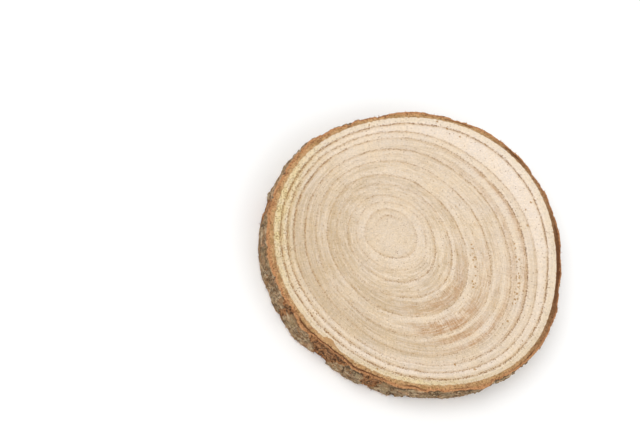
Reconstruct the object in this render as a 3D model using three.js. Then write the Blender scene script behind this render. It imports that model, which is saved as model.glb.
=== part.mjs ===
// A slice sawn across a small trunk, with its bark left on. The wood and the bark grew as one
// piece, so the slice is one solid: two flat sawn faces and a weathered rim of bark between them.
//
// Millimetres, +Z up. The slice lies flat, and the origin is the middle of its underside.
import * as THREE from 'three';

// The slice.
const THICKNESS = 11; // between the two sawn faces
const WOOD_RADIUS = 45.2; // mean radius of the wood, inside the bark
const BARK_THICKNESS = 2.2; // mean thickness of the bark
const SAWN_EDGE = 0.35; // how far the bark's sawn edges are rubbed back

// How finely the rim is cut into facets.
const RIM_POINTS = 216;
const RIM_ROWS = 6;

// Slow waves that take the trunk out of round, each [crests in a turn, height, bearing of a crest
// in degrees]. The single wave stands for growth that was faster on one side of the trunk.
const TRUNK_WAVES = [
  [1, 2.8, 35],
  [2, 1.9, -9],
  [3, 0.75, 50],
  [4, 0.38, -44],
  [6, 0.12, 19],
];

// Waves in the thickness of the bark: it is thicker on one side, and its ridges run up the trunk.
const BARK_WAVES = [
  [1, 0.42, -128],
  [5, 0.14, 31],
  [9, 0.15, 12],
  [14, 0.13, 5],
  [23, 0.1, 9],
  [31, 0.08, 2],
];

// Where the bark was knocked thin: each [bearing in degrees, half width in degrees, depth].
const BARK_CHIPS = [
  [-134, 6, 0.45],
  [-112, 3, 0.3],
  [-96, 2.5, 0.3],
  [58, 3, 0.2],
  [152, 4, 0.25],
];

// Lumps on the rim between the faces: each [crests in a turn, height, bearing of a crest in degrees,
// half waves up the rim]. They die out at the sawn faces, so both faces keep the same outline.
const RIM_LUMPS = [
  [6, 0.28, 14, 1],
  [11, 0.22, 25, 2],
  [17, 0.2, 8, 3],
  [27, 0.12, 4, 2],
];

const turn = THREE.MathUtils.degToRad;

/** Height of one wave round the trunk at a bearing in radians. */
function wave(bearing, crests, height, crestBearing) {
  return height * Math.cos(crests * (bearing - turn(crestBearing)));
}

/** Depth of one chip at a bearing in radians: a smooth hollow, nothing beyond about two half widths. */
function chip(bearing, chipBearing, halfWidth, depth) {
  const away = Math.atan2(Math.sin(bearing - turn(chipBearing)), Math.cos(bearing - turn(chipBearing)));
  return depth * Math.exp(-((away / turn(halfWidth)) ** 2));
}

/** Radius of the wood at a bearing in radians. */
function woodRadius(bearing) {
  return TRUNK_WAVES.reduce((sum, [n, height, crest]) => sum + wave(bearing, n, height, crest), WOOD_RADIUS);
}

/** Thickness of the bark at a bearing in radians. */
function barkThickness(bearing) {
  const ridges = BARK_WAVES.reduce((sum, [n, height, crest]) => sum + wave(bearing, n, height, crest), 0);
  const chips = BARK_CHIPS.reduce((sum, [at, halfWidth, depth]) => sum + chip(bearing, at, halfWidth, depth), 0);
  return BARK_THICKNESS + ridges - chips;
}

/** The outline of a sawn face, bark and all. */
function faceOutline() {
  const outline = new THREE.Shape();
  for (let i = 0; i < RIM_POINTS; i += 1) {
    const bearing = (i / RIM_POINTS) * 2 * Math.PI;
    const radius = woodRadius(bearing) + barkThickness(bearing);
    const [x, y] = [radius * Math.cos(bearing), radius * Math.sin(bearing)];
    if (i === 0) outline.moveTo(x, y);
    else outline.lineTo(x, y);
  }
  outline.closePath();
  return outline;
}

/** How far the rim stands out at a bearing in radians and a height above the underside. */
function rimLump(bearing, height) {
  const up = height / THICKNESS;
  const fade = Math.sin(Math.PI * up);
  return RIM_LUMPS.reduce(
    (sum, [n, size, crest, halfWaves]) =>
      sum + fade * wave(bearing, n, size, crest) * Math.cos(halfWaves * Math.PI * up),
    0,
  );
}

/** Moves the rim's points in and out. The points on the two faces stay where they are. */
function weatherRim(geometry) {
  const points = geometry.getAttribute('position');
  for (let i = 0; i < points.count; i += 1) {
    const [x, y, z] = [points.getX(i), points.getY(i), points.getZ(i)];
    const share = 1 + rimLump(Math.atan2(y, x), z) / Math.hypot(x, y);
    points.setXY(i, x * share, y * share);
  }
}

/** Puts the middle of the outline's box over the origin. */
function centreOnOrigin(geometry) {
  geometry.computeBoundingBox();
  const middle = geometry.boundingBox.getCenter(new THREE.Vector3());
  geometry.translate(-middle.x, -middle.y, 0);
}

/** The whole slice: the face's outline carried up to the other face, with a weathered rim. */
function sliceGeometry() {
  const geometry = new THREE.ExtrudeGeometry(faceOutline(), {
    depth: THICKNESS - 2 * SAWN_EDGE,
    steps: RIM_ROWS,
    bevelEnabled: true,
    bevelThickness: SAWN_EDGE,
    bevelSize: SAWN_EDGE,
    bevelOffset: -SAWN_EDGE,
    bevelSegments: 1,
  });
  geometry.translate(0, 0, SAWN_EDGE);
  weatherRim(geometry);
  centreOnOrigin(geometry);
  geometry.computeVertexNormals();
  return geometry;
}

const wood = new THREE.MeshStandardMaterial({ color: 0xe3d2b2, roughness: 0.82, metalness: 0 });

const slice = new THREE.Mesh(sliceGeometry(), wood);
slice.name = 'wood_slice';

const part = new THREE.Group();
part.name = 'wood slice';
part.add(slice);

export default part;
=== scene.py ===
"""A slice of a small trunk, sawn flat on both faces, with its bark left on.

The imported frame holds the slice's size and outline. This script grows the wood and the bark inside that
outline. The sawn wood carries its years as mesh traits, one value for each point, and its finish draws the
lines, pores and rays from them. The bark is a closed ring with plates, cracks, chips and a crumbled sawn
edge, and small scales, lenticels and torn fibres are scattered over it.

Everything is in metres, +Z up, in the frame's own place. Lengths that read better in millimetres are kept
in millimetres, and their names end in _mm.
"""

import itertools
import logging
import math
from dataclasses import dataclass, field
from enum import Enum

import bpy
import numpy as np
from mathutils import Matrix, Vector


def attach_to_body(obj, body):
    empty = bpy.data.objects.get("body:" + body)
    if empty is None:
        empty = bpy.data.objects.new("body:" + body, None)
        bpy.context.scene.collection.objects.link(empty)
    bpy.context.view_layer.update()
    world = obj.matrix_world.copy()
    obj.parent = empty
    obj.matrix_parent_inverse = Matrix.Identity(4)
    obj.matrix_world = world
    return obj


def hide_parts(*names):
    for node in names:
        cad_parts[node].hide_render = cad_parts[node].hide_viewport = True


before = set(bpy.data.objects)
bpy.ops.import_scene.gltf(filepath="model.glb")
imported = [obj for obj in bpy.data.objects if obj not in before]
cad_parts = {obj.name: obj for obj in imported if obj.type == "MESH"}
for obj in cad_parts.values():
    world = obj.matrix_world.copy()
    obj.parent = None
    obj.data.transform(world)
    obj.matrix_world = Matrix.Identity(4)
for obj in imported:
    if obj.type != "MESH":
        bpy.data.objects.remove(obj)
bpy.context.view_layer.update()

NODE = "wood_slice"
BODY = "root"
MM = 0.001
TURN = 2 * math.pi
STUDIO_LIGHT = 1.2  # how bright a white sheet lies in the studio

log = logging.getLogger(NODE)

Array = np.ndarray
Triple = tuple[float, float, float]
Colour = Triple
Range = tuple[float, float]  # where a change starts and where it ends
Ramp = tuple[float, float, float, float]  # the same, and what it gives before and after
Material = bpy.types.Material
Mesh = bpy.types.Mesh
Piece = bpy.types.Object
Socket = bpy.types.NodeSocket


# ------------ Small tools


def smooth(low: float, high: float, value: Array) -> Array:
    """An eased step.

    Args:
        low: The value where the step starts.
        high: The value where the step ends. It may lie below low, which turns the step round.
        value: The values to step.

    Returns:
        0 before low, 1 after high, and an eased rise between.
    """
    share = np.clip((value - low) / (high - low), 0.0, 1.0)
    return share * share * (3.0 - 2.0 * share)


def bump(bearing: Array, centre_deg: float, spread_deg: float) -> Array:
    """A soft bump round the trunk.

    Args:
        bearing: Bearings in radians.
        centre_deg: The bearing of the top of the bump, in degrees.
        spread_deg: How far from its top the bump falls to about a third, in degrees.

    Returns:
        1 at the centre, falling to 0 on both sides.
    """
    centre = math.radians(centre_deg)
    away = np.degrees(np.arctan2(np.sin(bearing - centre), np.cos(bearing - centre)))
    return np.exp(-((away / spread_deg) ** 2))


def paint(red: int, green: int, blue: int) -> Colour:
    """A finish's colour, in the linear form that shaders take.

    Args:
        red: How red it should look under the studio's light, from 0 to 255.
        green: How green.
        blue: How blue.

    Returns:
        The colour, with the studio's light taken off.
    """

    def linear(level: int) -> float:
        """One channel of it."""
        share = level / 255
        return (share / 12.92 if share <= 0.04045 else ((share + 0.055) / 1.055) ** 2.4) / STUDIO_LIGHT

    return linear(red), linear(green), linear(blue)


class Grain:
    """Smooth seeded noise for shaping meshes."""

    CELLS = 256  # the noise repeats after this many cells
    STEP_ASIDE = 17.3  # how far each finer layer is moved, so that the layers don't line up
    READING, LAYERED = 1.6, 1.4  # these bring a reading, and layers of them, to about 1

    def __init__(self, seed: int) -> None:
        """Draws the lattice.

        Args:
            seed: Fixes the pattern.
        """
        draw = np.random.default_rng(seed)
        self.order = np.tile(draw.permutation(self.CELLS), 2)
        slopes = draw.normal(size=(self.CELLS, 3))
        self.slopes = slopes / np.linalg.norm(slopes, axis=1, keepdims=True)

    def __call__(self, spots: Array) -> Array:
        """Reads the noise.

        Args:
            spots: Points, the last axis holding x, y and z, one lattice cell apart at 1.

        Returns:
            One value for each point, from about -1 to 1.
        """
        cell = np.floor(spots).astype(int)
        part = spots - cell
        ease = part**3 * (part * (part * 6 - 15) + 10)
        total = np.zeros(spots.shape[:-1])
        for corner in itertools.product((0, 1), repeat=3):
            at = (cell + corner) & (self.CELLS - 1)
            pick = self.order[self.order[self.order[at[..., 0]] + at[..., 1]] + at[..., 2]]
            weight = np.where(corner, ease, 1 - ease).prod(axis=-1)
            total += weight * (self.slopes[pick] * (part - corner)).sum(axis=-1)
        return total * self.READING

    def layers(self, spots: Array, count: int) -> Array:
        """Noise with finer noise on top of it.

        Args:
            spots: Points as for a single reading.
            count: How many layers, each twice as fine and half as strong as the one before.

        Returns:
            One value for each point, from about -1 to 1.
        """
        total, strength = np.zeros(spots.shape[:-1]), 0.0
        for step in range(count):
            total += self(spots * 2.0**step + self.STEP_ASIDE * step) * 0.5**step
            strength += 0.5**step
        return total / strength * self.LAYERED


@dataclass(frozen=True)
class Lumps:
    """Lumps in a mesh, made from noise.

    Attributes:
        seed: Fixes the pattern.
        size_mm: How far apart the lumps are, or one distance for each of x, y and z.
        count: How many layers of noise there are, or 0 for a plain reading.
        height: How high the lumps stand.
    """

    seed: int
    size_mm: float | Triple
    count: int = 0
    height: float = 1.0

    def read(self, spots: Array) -> Array:
        """The height of the lumps at each spot, given in millimetres."""
        grain, scaled = Grain(self.seed), spots / self.size_mm
        return self.height * (grain.layers(scaled, self.count) if self.count else grain(scaled))


class Plates:
    """The cracked plates of a bark, as rounded cells laid round the trunk."""

    ROWS = 16  # the plates repeat after this many up the trunk
    MARGIN = 0.12  # how near its cell's edge a centre may lie
    FAR = 9.0  # farther than any centre
    FIRST_ROW = 6  # the row of centres at the underside

    def __init__(self, seed: int, round_trunk: int, plate_height_mm: float) -> None:
        """Draws a centre for each plate.

        Args:
            seed: Fixes the pattern.
            round_trunk: How many plates go round the trunk.
            plate_height_mm: How far apart the plates are up the trunk.
        """
        self.round_trunk, self.plate_height_mm = round_trunk, plate_height_mm
        draw = np.random.default_rng(seed)
        self.centres = draw.uniform(self.MARGIN, 1 - self.MARGIN, (round_trunk, self.ROWS, 2))

    def crack(self, bearing: Array, height_mm: Array) -> Array:
        """How near each point lies to the crack round its plate.

        Args:
            bearing: Bearings in radians.
            height_mm: Heights above the underside.

        Returns:
            0 on a crack, rising to about 1 in the middle of a plate.
        """
        across = (bearing / TURN % 1.0) * self.round_trunk
        up = height_mm / self.plate_height_mm + self.FIRST_ROW
        nearest = np.full(across.shape, self.FAR)
        second = np.full(across.shape, self.FAR)
        for step_across, step_up in itertools.product((-1, 0, 1), repeat=2):
            column = np.floor(across).astype(int) + step_across
            row = np.floor(up).astype(int) + step_up
            centre = self.centres[column % self.round_trunk, row % self.ROWS]
            away = np.hypot(column + centre[..., 0] - across, row + centre[..., 1] - up)
            second = np.minimum(second, np.maximum(nearest, away))
            nearest = np.minimum(nearest, away)
        return second - nearest


def ring_points(distance: Array, bearing: Array, height: Array | float) -> Array:
    """Points told by their distance from an axis, their bearing and their height."""
    level = np.broadcast_to(height, distance.shape)
    return np.stack([distance * np.cos(bearing), distance * np.sin(bearing), level], axis=-1)


def make_mesh(name: str, points: Array, faces: Array, traits: dict["Trait", Array]) -> Mesh:
    """Makes a mesh whose points carry traits.

    Args:
        name: The mesh's name.
        points: One row for each point, in metres.
        faces: One row of point numbers for each face; a last number of -1 makes the face a triangle.
        traits: For each trait, one value for each point.

    Returns:
        The mesh, shaded smooth.
    """
    mesh = bpy.data.meshes.new(name)
    mesh.from_pydata(points.tolist(), [], [[p for p in face if p >= 0] for face in faces.tolist()])
    for trait, values in traits.items():
        layer = mesh.attributes.new(trait.value, "FLOAT", "POINT")
        layer.data.foreach_set("value", np.asarray(values, np.float32).ravel())
    mesh.shade_smooth()
    mesh.update()
    return mesh


def place(mesh: Mesh, finish: Material | None = None) -> Piece:
    """Stands a mesh in the scene, at the origin and unturned.

    Args:
        mesh: The mesh, whose name the object takes.
        finish: Its material.

    Returns:
        The object.
    """
    piece = bpy.data.objects.new(mesh.name, mesh)
    bpy.context.scene.collection.objects.link(piece)
    if finish is not None:
        mesh.materials.append(finish)
    return piece


class Face(Enum):
    """The two sawn faces."""

    UPPER = "upper"
    UNDER = "under"


class Trait(Enum):
    """What the points of a mesh know about themselves."""

    AGE = "age"  # years grown, a whole number on each year line
    YEAR_MM = "year_mm"  # the width of the year round a point
    LINE = "line"  # how strong the nearest year line is
    EDGE_MM = "edge_mm"  # the distance from the bark
    PALE = "pale"  # how light the year's wood is
    STAIN = "stain"  # how brown the year's wood was stained
    STAIN_FROM = "stain_from"  # the part of the year where that stain starts
    PITTED = "pitted"  # where insects and rot left small golden pits
    SAP = "sap"  # how yellow the young outer wood is
    BLUSH = "blush"  # how pale and pink the wood is
    TONE = "tone"  # how light the wood is, partly a painted lighting gradient across the sawn face
    DEPTH = "depth"  # on the bark, 0 at the wood and 1 at the outside
    RIM = "rim"  # 1 on the outside of the bark and 0 on its sawn faces
    LIP = "lip"  # 1 on the sawn edge of the bark
    RELIEF = "relief"  # how far the bark stands out; the finish paints shade where it is low
    BARE = "bare"  # where the outer bark is knocked away
    SCALY = "scaly"  # where small scales sit
    DOTTED = "dotted"  # where lenticels sit
    TORN = "torn"  # where fibres stick out


# ------------ Shader nodes


@dataclass(frozen=True)
class Mottle:
    """Noise mapped to the values that a finish needs.

    Attributes:
        scale: How many blobs there are in one unit, mostly a millimetre.
        detail: How many finer layers the noise has.
        rough: How strong the finer layers are.
        low: The noise where the change starts.
        high: The noise where it ends.
        bottom: What it gives before low.
        top: What it gives after high.
        eased: Whether the change is eased or straight.
        shift: How far the noise is moved, so that no two mottles match.
    """

    scale: float
    detail: float
    rough: float
    low: float
    high: float
    bottom: float = 0.0
    top: float = 1.0
    eased: bool = True
    shift: Triple | None = None


class NodeBench:
    """Lays out the nodes of one tree and joins them."""

    def __init__(self, tree: bpy.types.NodeTree) -> None:
        """Takes a tree.

        Args:
            tree: The tree to lay nodes in.
        """
        self.nodes, self.links = tree.nodes, tree.links

    def node(self, kind: str, inputs: dict, **settings: object) -> bpy.types.Node:
        """Adds a node.

        Args:
            kind: Blender's name for the node.
            inputs: For each input, by name or number, a socket to join or a value to set.
            settings: The node's own settings.

        Returns:
            The node.
        """
        made = self.nodes.new(kind)
        for name, value in settings.items():
            setattr(made, name, value)
        for name, value in inputs.items():
            self.feed(made.inputs[name], value)
        return made

    def feed(self, socket: Socket, value: object) -> None:
        """Joins a socket to another one, or sets its value."""
        if isinstance(value, Socket):
            self.links.new(value, socket)
        elif isinstance(value, tuple) and socket.type == "RGBA":
            socket.default_value = (*value, 1.0)
        else:
            socket.default_value = value

    def maths(self, operation: str, *values: object) -> Socket:
        """One sum on numbers."""
        return self.node("ShaderNodeMath", dict(enumerate(values)), operation=operation).outputs[0]

    def times(self, first: object, *others: object) -> Socket:
        """A number times others, one after the other."""
        for other in others:
            first = self.maths("MULTIPLY", first, other)
        return first

    def plus(self, first: object, *others: object) -> Socket:
        """A number plus others, one after the other."""
        for other in others:
            first = self.maths("ADD", first, other)
        return first

    def minus(self, first: object, second: object) -> Socket:
        """One number less another."""
        return self.maths("SUBTRACT", first, second)

    def times_plus(self, first: object, second: object, third: object) -> Socket:
        """One number times another, plus a third."""
        return self.maths("MULTIPLY_ADD", first, second, third)

    def most(self, first: object, *others: object) -> Socket:
        """The largest of some numbers."""
        for other in others:
            first = self.maths("MAXIMUM", first, other)
        return first

    def vector(self, operation: str, *values: object) -> Socket:
        """One sum on vectors."""
        made = self.node("ShaderNodeVectorMath", dict(enumerate(values)), operation=operation)
        return made.outputs["Vector"]

    def shifted(self, vector: object, by: object) -> Socket:
        """A vector plus another."""
        return self.vector("ADD", vector, by)

    def stretch(self, vector: object, amount: object) -> Socket:
        """A vector or colour times a number."""
        made = self.node("ShaderNodeVectorMath", {0: vector, "Scale": amount}, operation="SCALE")
        return made.outputs["Vector"]

    def join(self, x: object, y: object, z: object) -> Socket:
        """Three numbers as a vector."""
        return self.node("ShaderNodeCombineXYZ", {0: x, 1: y, 2: z}).outputs[0]


class Bench(NodeBench):
    """Lays out the nodes of one material."""

    def __init__(self, name: str, shine: float) -> None:
        """Starts a material with one shader.

        Args:
            name: The material's name.
            shine: The shader's specular level.
        """
        self.material = bpy.data.materials.new(name)
        self.material.use_nodes = True
        super().__init__(self.material.node_tree)
        self.nodes.clear()
        self.shader = self.nodes.new("ShaderNodeBsdfPrincipled")
        self.shader.inputs["Specular IOR Level"].default_value = shine
        output = self.nodes.new("ShaderNodeOutputMaterial")
        self.links.new(self.shader.outputs["BSDF"], output.inputs["Surface"])

    def trait(self, trait: Trait) -> Socket:
        """A trait of the mesh."""
        return self.node("ShaderNodeAttribute", {}, attribute_name=trait.value).outputs["Fac"]

    def millimetres(self, middle: Vector) -> Socket:
        """The place on the piece in millimetres.

        Args:
            middle: The point, in metres, where the count starts.

        Returns:
            The vector from that point.
        """
        spot = self.node("ShaderNodeTexCoord", {}).outputs["Object"]
        start = self.node("ShaderNodeMapping", {"Vector": spot, "Location": -middle}, vector_type="POINT")
        return self.stretch(start.outputs["Vector"], 1 / MM)

    def noise(self, vector: object, scale: float, detail: float, rough: float) -> Socket:
        """Soft noise from 0 to 1.

        Args:
            vector: Where it is read.
            scale: How many blobs there are in one unit.
            detail: How many finer layers it has.
            rough: How strong the finer layers are.

        Returns:
            The noise.
        """
        inputs = {"Vector": vector, "Scale": scale, "Detail": detail, "Roughness": rough}
        return self.node("ShaderNodeTexNoise", inputs).outputs["Fac"]

    def mottle(self, vector: object, mottle: Mottle) -> Socket:
        """Noise mapped as a mottle says, read at a vector."""
        at = vector if mottle.shift is None else self.shifted(vector, mottle.shift)
        level = self.noise(at, mottle.scale, mottle.detail, mottle.rough)
        change = self.ease if mottle.eased else self.span
        return change(level, mottle.low, mottle.high, mottle.bottom, mottle.top)

    def cells(self, vector: object, scale: float) -> tuple[Socket, Socket]:
        """Scattered dots that run straight through along Z.

        Args:
            vector: Where they are read.
            scale: How many cells there are in one unit.

        Returns:
            The distance from the nearest dot, in cells, and a random number for that dot.
        """
        inputs = {"Vector": vector, "Scale": scale}
        made = self.node("ShaderNodeTexVoronoi", inputs, voronoi_dimensions="2D")
        chance = self.node("ShaderNodeSeparateColor", {0: made.outputs["Color"]})
        return made.outputs["Distance"], chance.outputs[0]

    def ease(self, value: object, low: float, high: float, bottom: float = 0.0, top: float = 1.0) -> Socket:
        """An eased step.

        Args:
            value: The number to step.
            low: Where the step starts; it may lie above high.
            high: Where the step ends.
            bottom: What the step gives before low.
            top: What the step gives after high.

        Returns:
            The stepped number.
        """
        start, end, first, last = (low, high, bottom, top) if low < high else (high, low, top, bottom)
        inputs = {"Value": value, "From Min": start, "From Max": end, "To Min": first, "To Max": last}
        return self.node("ShaderNodeMapRange", inputs, interpolation_type="SMOOTHSTEP").outputs["Result"]

    def span(self, value: object, low: float, high: float, bottom: float, top: float) -> Socket:
        """A straight map of one range to another, held at its ends."""
        inputs = {"Value": value, "From Min": low, "From Max": high, "To Min": bottom, "To Max": top}
        return self.node("ShaderNodeMapRange", inputs).outputs["Result"]

    def blend(self, share: object, under: object, over: object) -> Socket:
        """One colour over another.

        Args:
            share: How much of the upper colour shows.
            under: The lower colour.
            over: The upper colour.

        Returns:
            The mixed colour.
        """
        return self.node("ShaderNodeMix", {0: share, 6: under, 7: over}, data_type="RGBA").outputs[2]

    def between(self, share: object, under: object, over: object) -> Socket:
        """One number over another."""
        return self.node("ShaderNodeMix", {0: share, 2: under, 3: over}, data_type="FLOAT").outputs[0]

    def surface(self, colour: object, roughness: object, height: object, relief_mm: float) -> Material:
        """Joins the last nodes to the shader.

        Args:
            colour: The base colour.
            roughness: The roughness.
            height: The height of the finest relief, from 0 to 1.
            relief_mm: How high that relief is.

        Returns:
            The finished material.
        """
        self.feed(self.shader.inputs["Base Color"], colour)
        self.feed(self.shader.inputs["Roughness"], roughness)
        bumped = self.node("ShaderNodeBump", {"Height": height, "Distance": relief_mm * MM, "Strength": 1.0})
        self.feed(self.shader.inputs["Normal"], bumped.outputs["Normal"])
        return self.material


# ------------ The slice's outline


class Outline:
    """The rim of the slice, read from the frame's solid, and where the wood ends inside it."""

    SAMPLES = 720
    SAWN_EDGE_MM = 0.5  # the solid's sawn edges are rubbed back within this much of the faces
    TRUNK_WAVES = 6  # slower waves than this are the trunk's own; the rest belong to the bark
    BARK_MM = 2.2
    THICKER_BY_MM = 0.42
    THICKEST_AT = -128.0

    def __init__(self, node: Piece) -> None:
        """Reads the solid, whose points all lie on its rim, in rows.

        Args:
            node: The frame's solid.
        """
        points = np.array([v.co for v in node.data.vertices])
        self.low, self.high = float(points[:, 2].min()), float(points[:, 2].max())
        heights = np.round(points[:, 2] / MM, 3)
        margin = self.SAWN_EDGE_MM / 2
        inside = (heights > self.low / MM + margin) & (heights < self.high / MM - margin)
        self.rows = np.unique(heights[inside])
        self.bearings = np.arange(self.SAMPLES) / self.SAMPLES * TURN
        self.reach = np.array([self._row(points[heights == row]) for row in self.rows])
        self.trunk = self._slow(self.reach[[0, -1]].mean(axis=0)) - self._bark(self.bearings)

    def _row(self, points: Array) -> Array:
        """The rim's distance from the axis at each sample, from one row of points."""
        bearing = np.arctan2(points[:, 1], points[:, 0])
        order = np.argsort(bearing)
        distance = np.hypot(points[:, 0], points[:, 1])
        return np.interp(self.bearings, bearing[order], distance[order], period=TURN)

    def _slow(self, reach: Array) -> Array:
        """A row with its quick waves taken out."""
        waves = np.fft.rfft(reach)
        waves[self.TRUNK_WAVES + 1 :] = 0
        return np.fft.irfft(waves, len(reach))

    def _bark(self, bearing: Array) -> Array:
        """The mean thickness of the bark at each bearing, in metres."""
        return (self.BARK_MM + self.THICKER_BY_MM * np.cos(bearing - math.radians(self.THICKEST_AT))) * MM

    def way(self, face: Face) -> tuple[int, float]:
        """Which way a sawn face looks, 1 for up and -1 for down, and its height in metres."""
        return (1, self.high) if face is Face.UPPER else (-1, self.low)

    def wood(self, bearing: Array) -> Array:
        """The distance of the wood's edge from the axis at each bearing, in metres."""
        return np.interp(bearing, self.bearings, self.trunk, period=TURN)

    def rim(self, bearing: Array, height: Array) -> Array:
        """The distance of the solid's rim from the axis.

        Args:
            bearing: Bearings in radians.
            height: Heights in metres, of the same shape.

        Returns:
            Distances in metres.
        """
        rows = np.array([np.interp(bearing, self.bearings, row, period=TURN) for row in self.reach])
        place_in_rows = np.interp(height / MM, self.rows, np.arange(len(self.rows)))
        below = np.clip(place_in_rows.astype(int), 0, len(self.rows) - 2)
        share = place_in_rows - below
        lower = np.take_along_axis(rows, below[None], axis=0)[0]
        upper = np.take_along_axis(rows, below[None] + 1, axis=0)[0]
        return lower * (1 - share) + upper * share


# ------------ The years


@dataclass(frozen=True)
class Stain:
    """A brown stain in one year's wood: a strong patch, and a fainter one beside it.

    Attributes:
        strength: How brown the strong patch is.
        at: Its bearing in degrees.
        spread: Its half width in degrees.
        start: The part of the year where the stain starts.
    """

    FAINTER, BESIDE, BESIDE_SPREAD = 0.3, 32, 24

    strength: float = 0.0
    at: float = -58.0
    spread: float = 18.0
    start: float = 0.5

    def shown(self, bearing: Array) -> Array:
        """How brown the wood is at each bearing."""
        beside = self.FAINTER * bump(bearing, self.at + self.BESIDE, self.BESIDE_SPREAD)
        return self.strength * (bump(bearing, self.at, self.spread) + beside)


@dataclass(frozen=True)
class YearLine:
    """The line at the end of one year's growth.

    Attributes:
        share: How far out it lies, from 0 at the pith to 1 at the bark.
        front_shift: How far it bulges outwards at the front, as a share.
        side_shift: How far it lies inwards at the wide side, as a negative share.
        strength: How dark it is all round.
        accents: Where it is darker or fainter: for each place, by how much, and its bearing in degrees.
        pale: How much lighter its year's wood is, or darker where negative.
        stain: The stain in its year's wood.
    """

    ACCENT_SPREAD = 48.0

    share: float
    front_shift: float
    side_shift: float
    strength: float
    accents: tuple[Range, ...] = ()
    pale: float = 0.0
    stain: Stain = Stain()

    def drawn(self, bearing: Array) -> Array:
        """How dark the line is at each bearing."""
        accents = sum(more * bump(bearing, at, self.ACCENT_SPREAD) for more, at in self.accents)
        return np.full_like(bearing, self.strength) + accents


YEAR_LINES = (
    YearLine(0.125, 0.0, -0.02, 0.12, ((0.45, 90),), 0.02),
    YearLine(0.205, 0.0, -0.05, 0.22, ((0.42, -85), (0.3, 105)), -0.05),
    YearLine(0.285, 0.0, -0.08, 0.22, ((0.15, 90),), 0.15),
    YearLine(0.361, 0.0, -0.118, 0.35, ((0.4, -35),), 0.05),
    YearLine(0.455, 0.0, -0.13, 0.3, ((0.4, -35),), 0.0, Stain(0.3, -76, 12, 0.78)),
    YearLine(0.535, 0.035, -0.145, 0.42, ((0.2, 25),), -0.12, Stain(0.68, -55, 26, 0.32)),
    YearLine(0.64, 0.055, -0.118, 0.42, ((0.25, 5),), 0.12, Stain(1.0, -62, 18, 0.42)),
    YearLine(0.69, 0.07, -0.105, 0.15, (), 0.05, Stain(0.8, -59, 15, 0.3)),
    YearLine(0.735, 0.08, -0.095, 0.68, ((-0.3, -88),), 0.05, Stain(0.8, -52, 20, 0.45)),
    YearLine(0.77, 0.05, -0.09, 0.05, ((0.4, 0),), -0.02, Stain(0.4, -10, 50, 0.15)),
    YearLine(0.829, 0.045, -0.08, 0.38, ((0.9, -8), (0.75, 150)), -0.05, Stain(0.65, -5, 45, 0.6)),
    YearLine(0.886, 0.035, -0.083, 0.75, ((-0.3, 5), (0.2, 175)), -0.05),
    YearLine(0.943, 0.022, 0.0, 1.0, ((0.35, -10), (0.5, 172)), 0.15),
)
PITH_LINE = 0.1  # how dark the pith is, as a year line
YOUNGEST = YearLine(1.0, 0.0, 0.0, 0.0, pale=0.1)  # the last year, which ends at the bark


class Growth:
    """Where each year lies on the sawn face, seen from the pith."""

    PITH = Vector((-9.47, 6.27)) * MM
    FRONT_AT = ((0.64, 0.9), (-78.0, -69.0))  # bearing of the front bulge at two shares
    FRONT_SPREAD = 46.0
    SIDE_AT = ((0.46, 0.85), (25.0, 33.0))  # bearing of the wide side at two shares
    SIDE_SPREAD = ((0.2, 0.36, 0.46, 0.64, 0.85), (85.0, 74.0, 63.0, 46.0, 34.0))
    SCAR_AT, SCAR_SPREAD, SCAR_MM = -121.5, 3.0, 1.35  # where the bark grew into the outermost year
    PITH_CORNERS = 3
    PITH_CORNER_SHARE = 0.12  # how strongly the first years have corners
    PITH_CORNER_REACH = 0.16  # how far out the corners last, as a share

    def __init__(self, outline: Outline, columns: int) -> None:
        """Lays out the columns, one for each of the outline's even steps.

        Args:
            outline: The slice's outline.
            columns: How many columns go round.
        """
        self.outline = outline
        around = np.arange(columns) / columns * TURN
        distance = outline.wood(around)
        self.edge = ring_points(distance, around, 0.0)[:, :2]
        from_pith = self.edge - np.array(self.PITH)
        self.reach = np.hypot(from_pith[:, 0], from_pith[:, 1])
        self.bearing = np.arctan2(from_pith[:, 1], from_pith[:, 0])
        self.lines = np.array([self._share(line) for line in YEAR_LINES])
        zeros, ones = np.zeros((1, columns)), np.ones((1, columns))
        self.lines = np.concatenate([zeros, self.lines, ones])

    @property
    def years(self) -> int:
        """How many years the slice has."""
        return len(self.lines) - 1

    def _share(self, line: YearLine) -> Array:
        """How far out a year line lies in each column."""
        front = bump(self.bearing, float(np.interp(line.share, *self.FRONT_AT)), self.FRONT_SPREAD)
        side_spread = float(np.interp(line.share, *self.SIDE_SPREAD))
        side = bump(self.bearing, float(np.interp(line.share, *self.SIDE_AT)), side_spread)
        corners = np.cos(self.PITH_CORNERS * (self.bearing - TURN / 4)) * self.PITH_CORNER_SHARE
        first_years = math.exp(-((line.share / self.PITH_CORNER_REACH) ** 2))
        share = line.share + line.front_shift * front + line.side_shift * side
        return share * (1 + corners * first_years)

    def scar(self) -> Array:
        """How far the bark reaches into the wood in each column, in millimetres."""
        return self.SCAR_MM * bump(self.bearing, self.SCAR_AT, self.SCAR_SPREAD)

    def share_at(self, ages: Array) -> Array:
        """How far out each age lies in each column, one row for each age."""
        below = np.clip(ages.astype(int), 0, self.years - 1)
        part = (ages - below)[:, None]
        return self.lines[below] * (1 - part) + self.lines[below + 1] * part

    def year_mm(self, ages: Array) -> Array:
        """The width of a year in each column, one row for each age."""
        widths = np.diff(self.lines, axis=0)
        before = np.clip(np.ceil(ages).astype(int) - 1, 0, self.years - 1)
        after = np.clip(np.floor(ages).astype(int), 0, self.years - 1)
        return (widths[before] + widths[after]) / 2 * self.reach / MM


# ------------ Finishes


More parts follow.
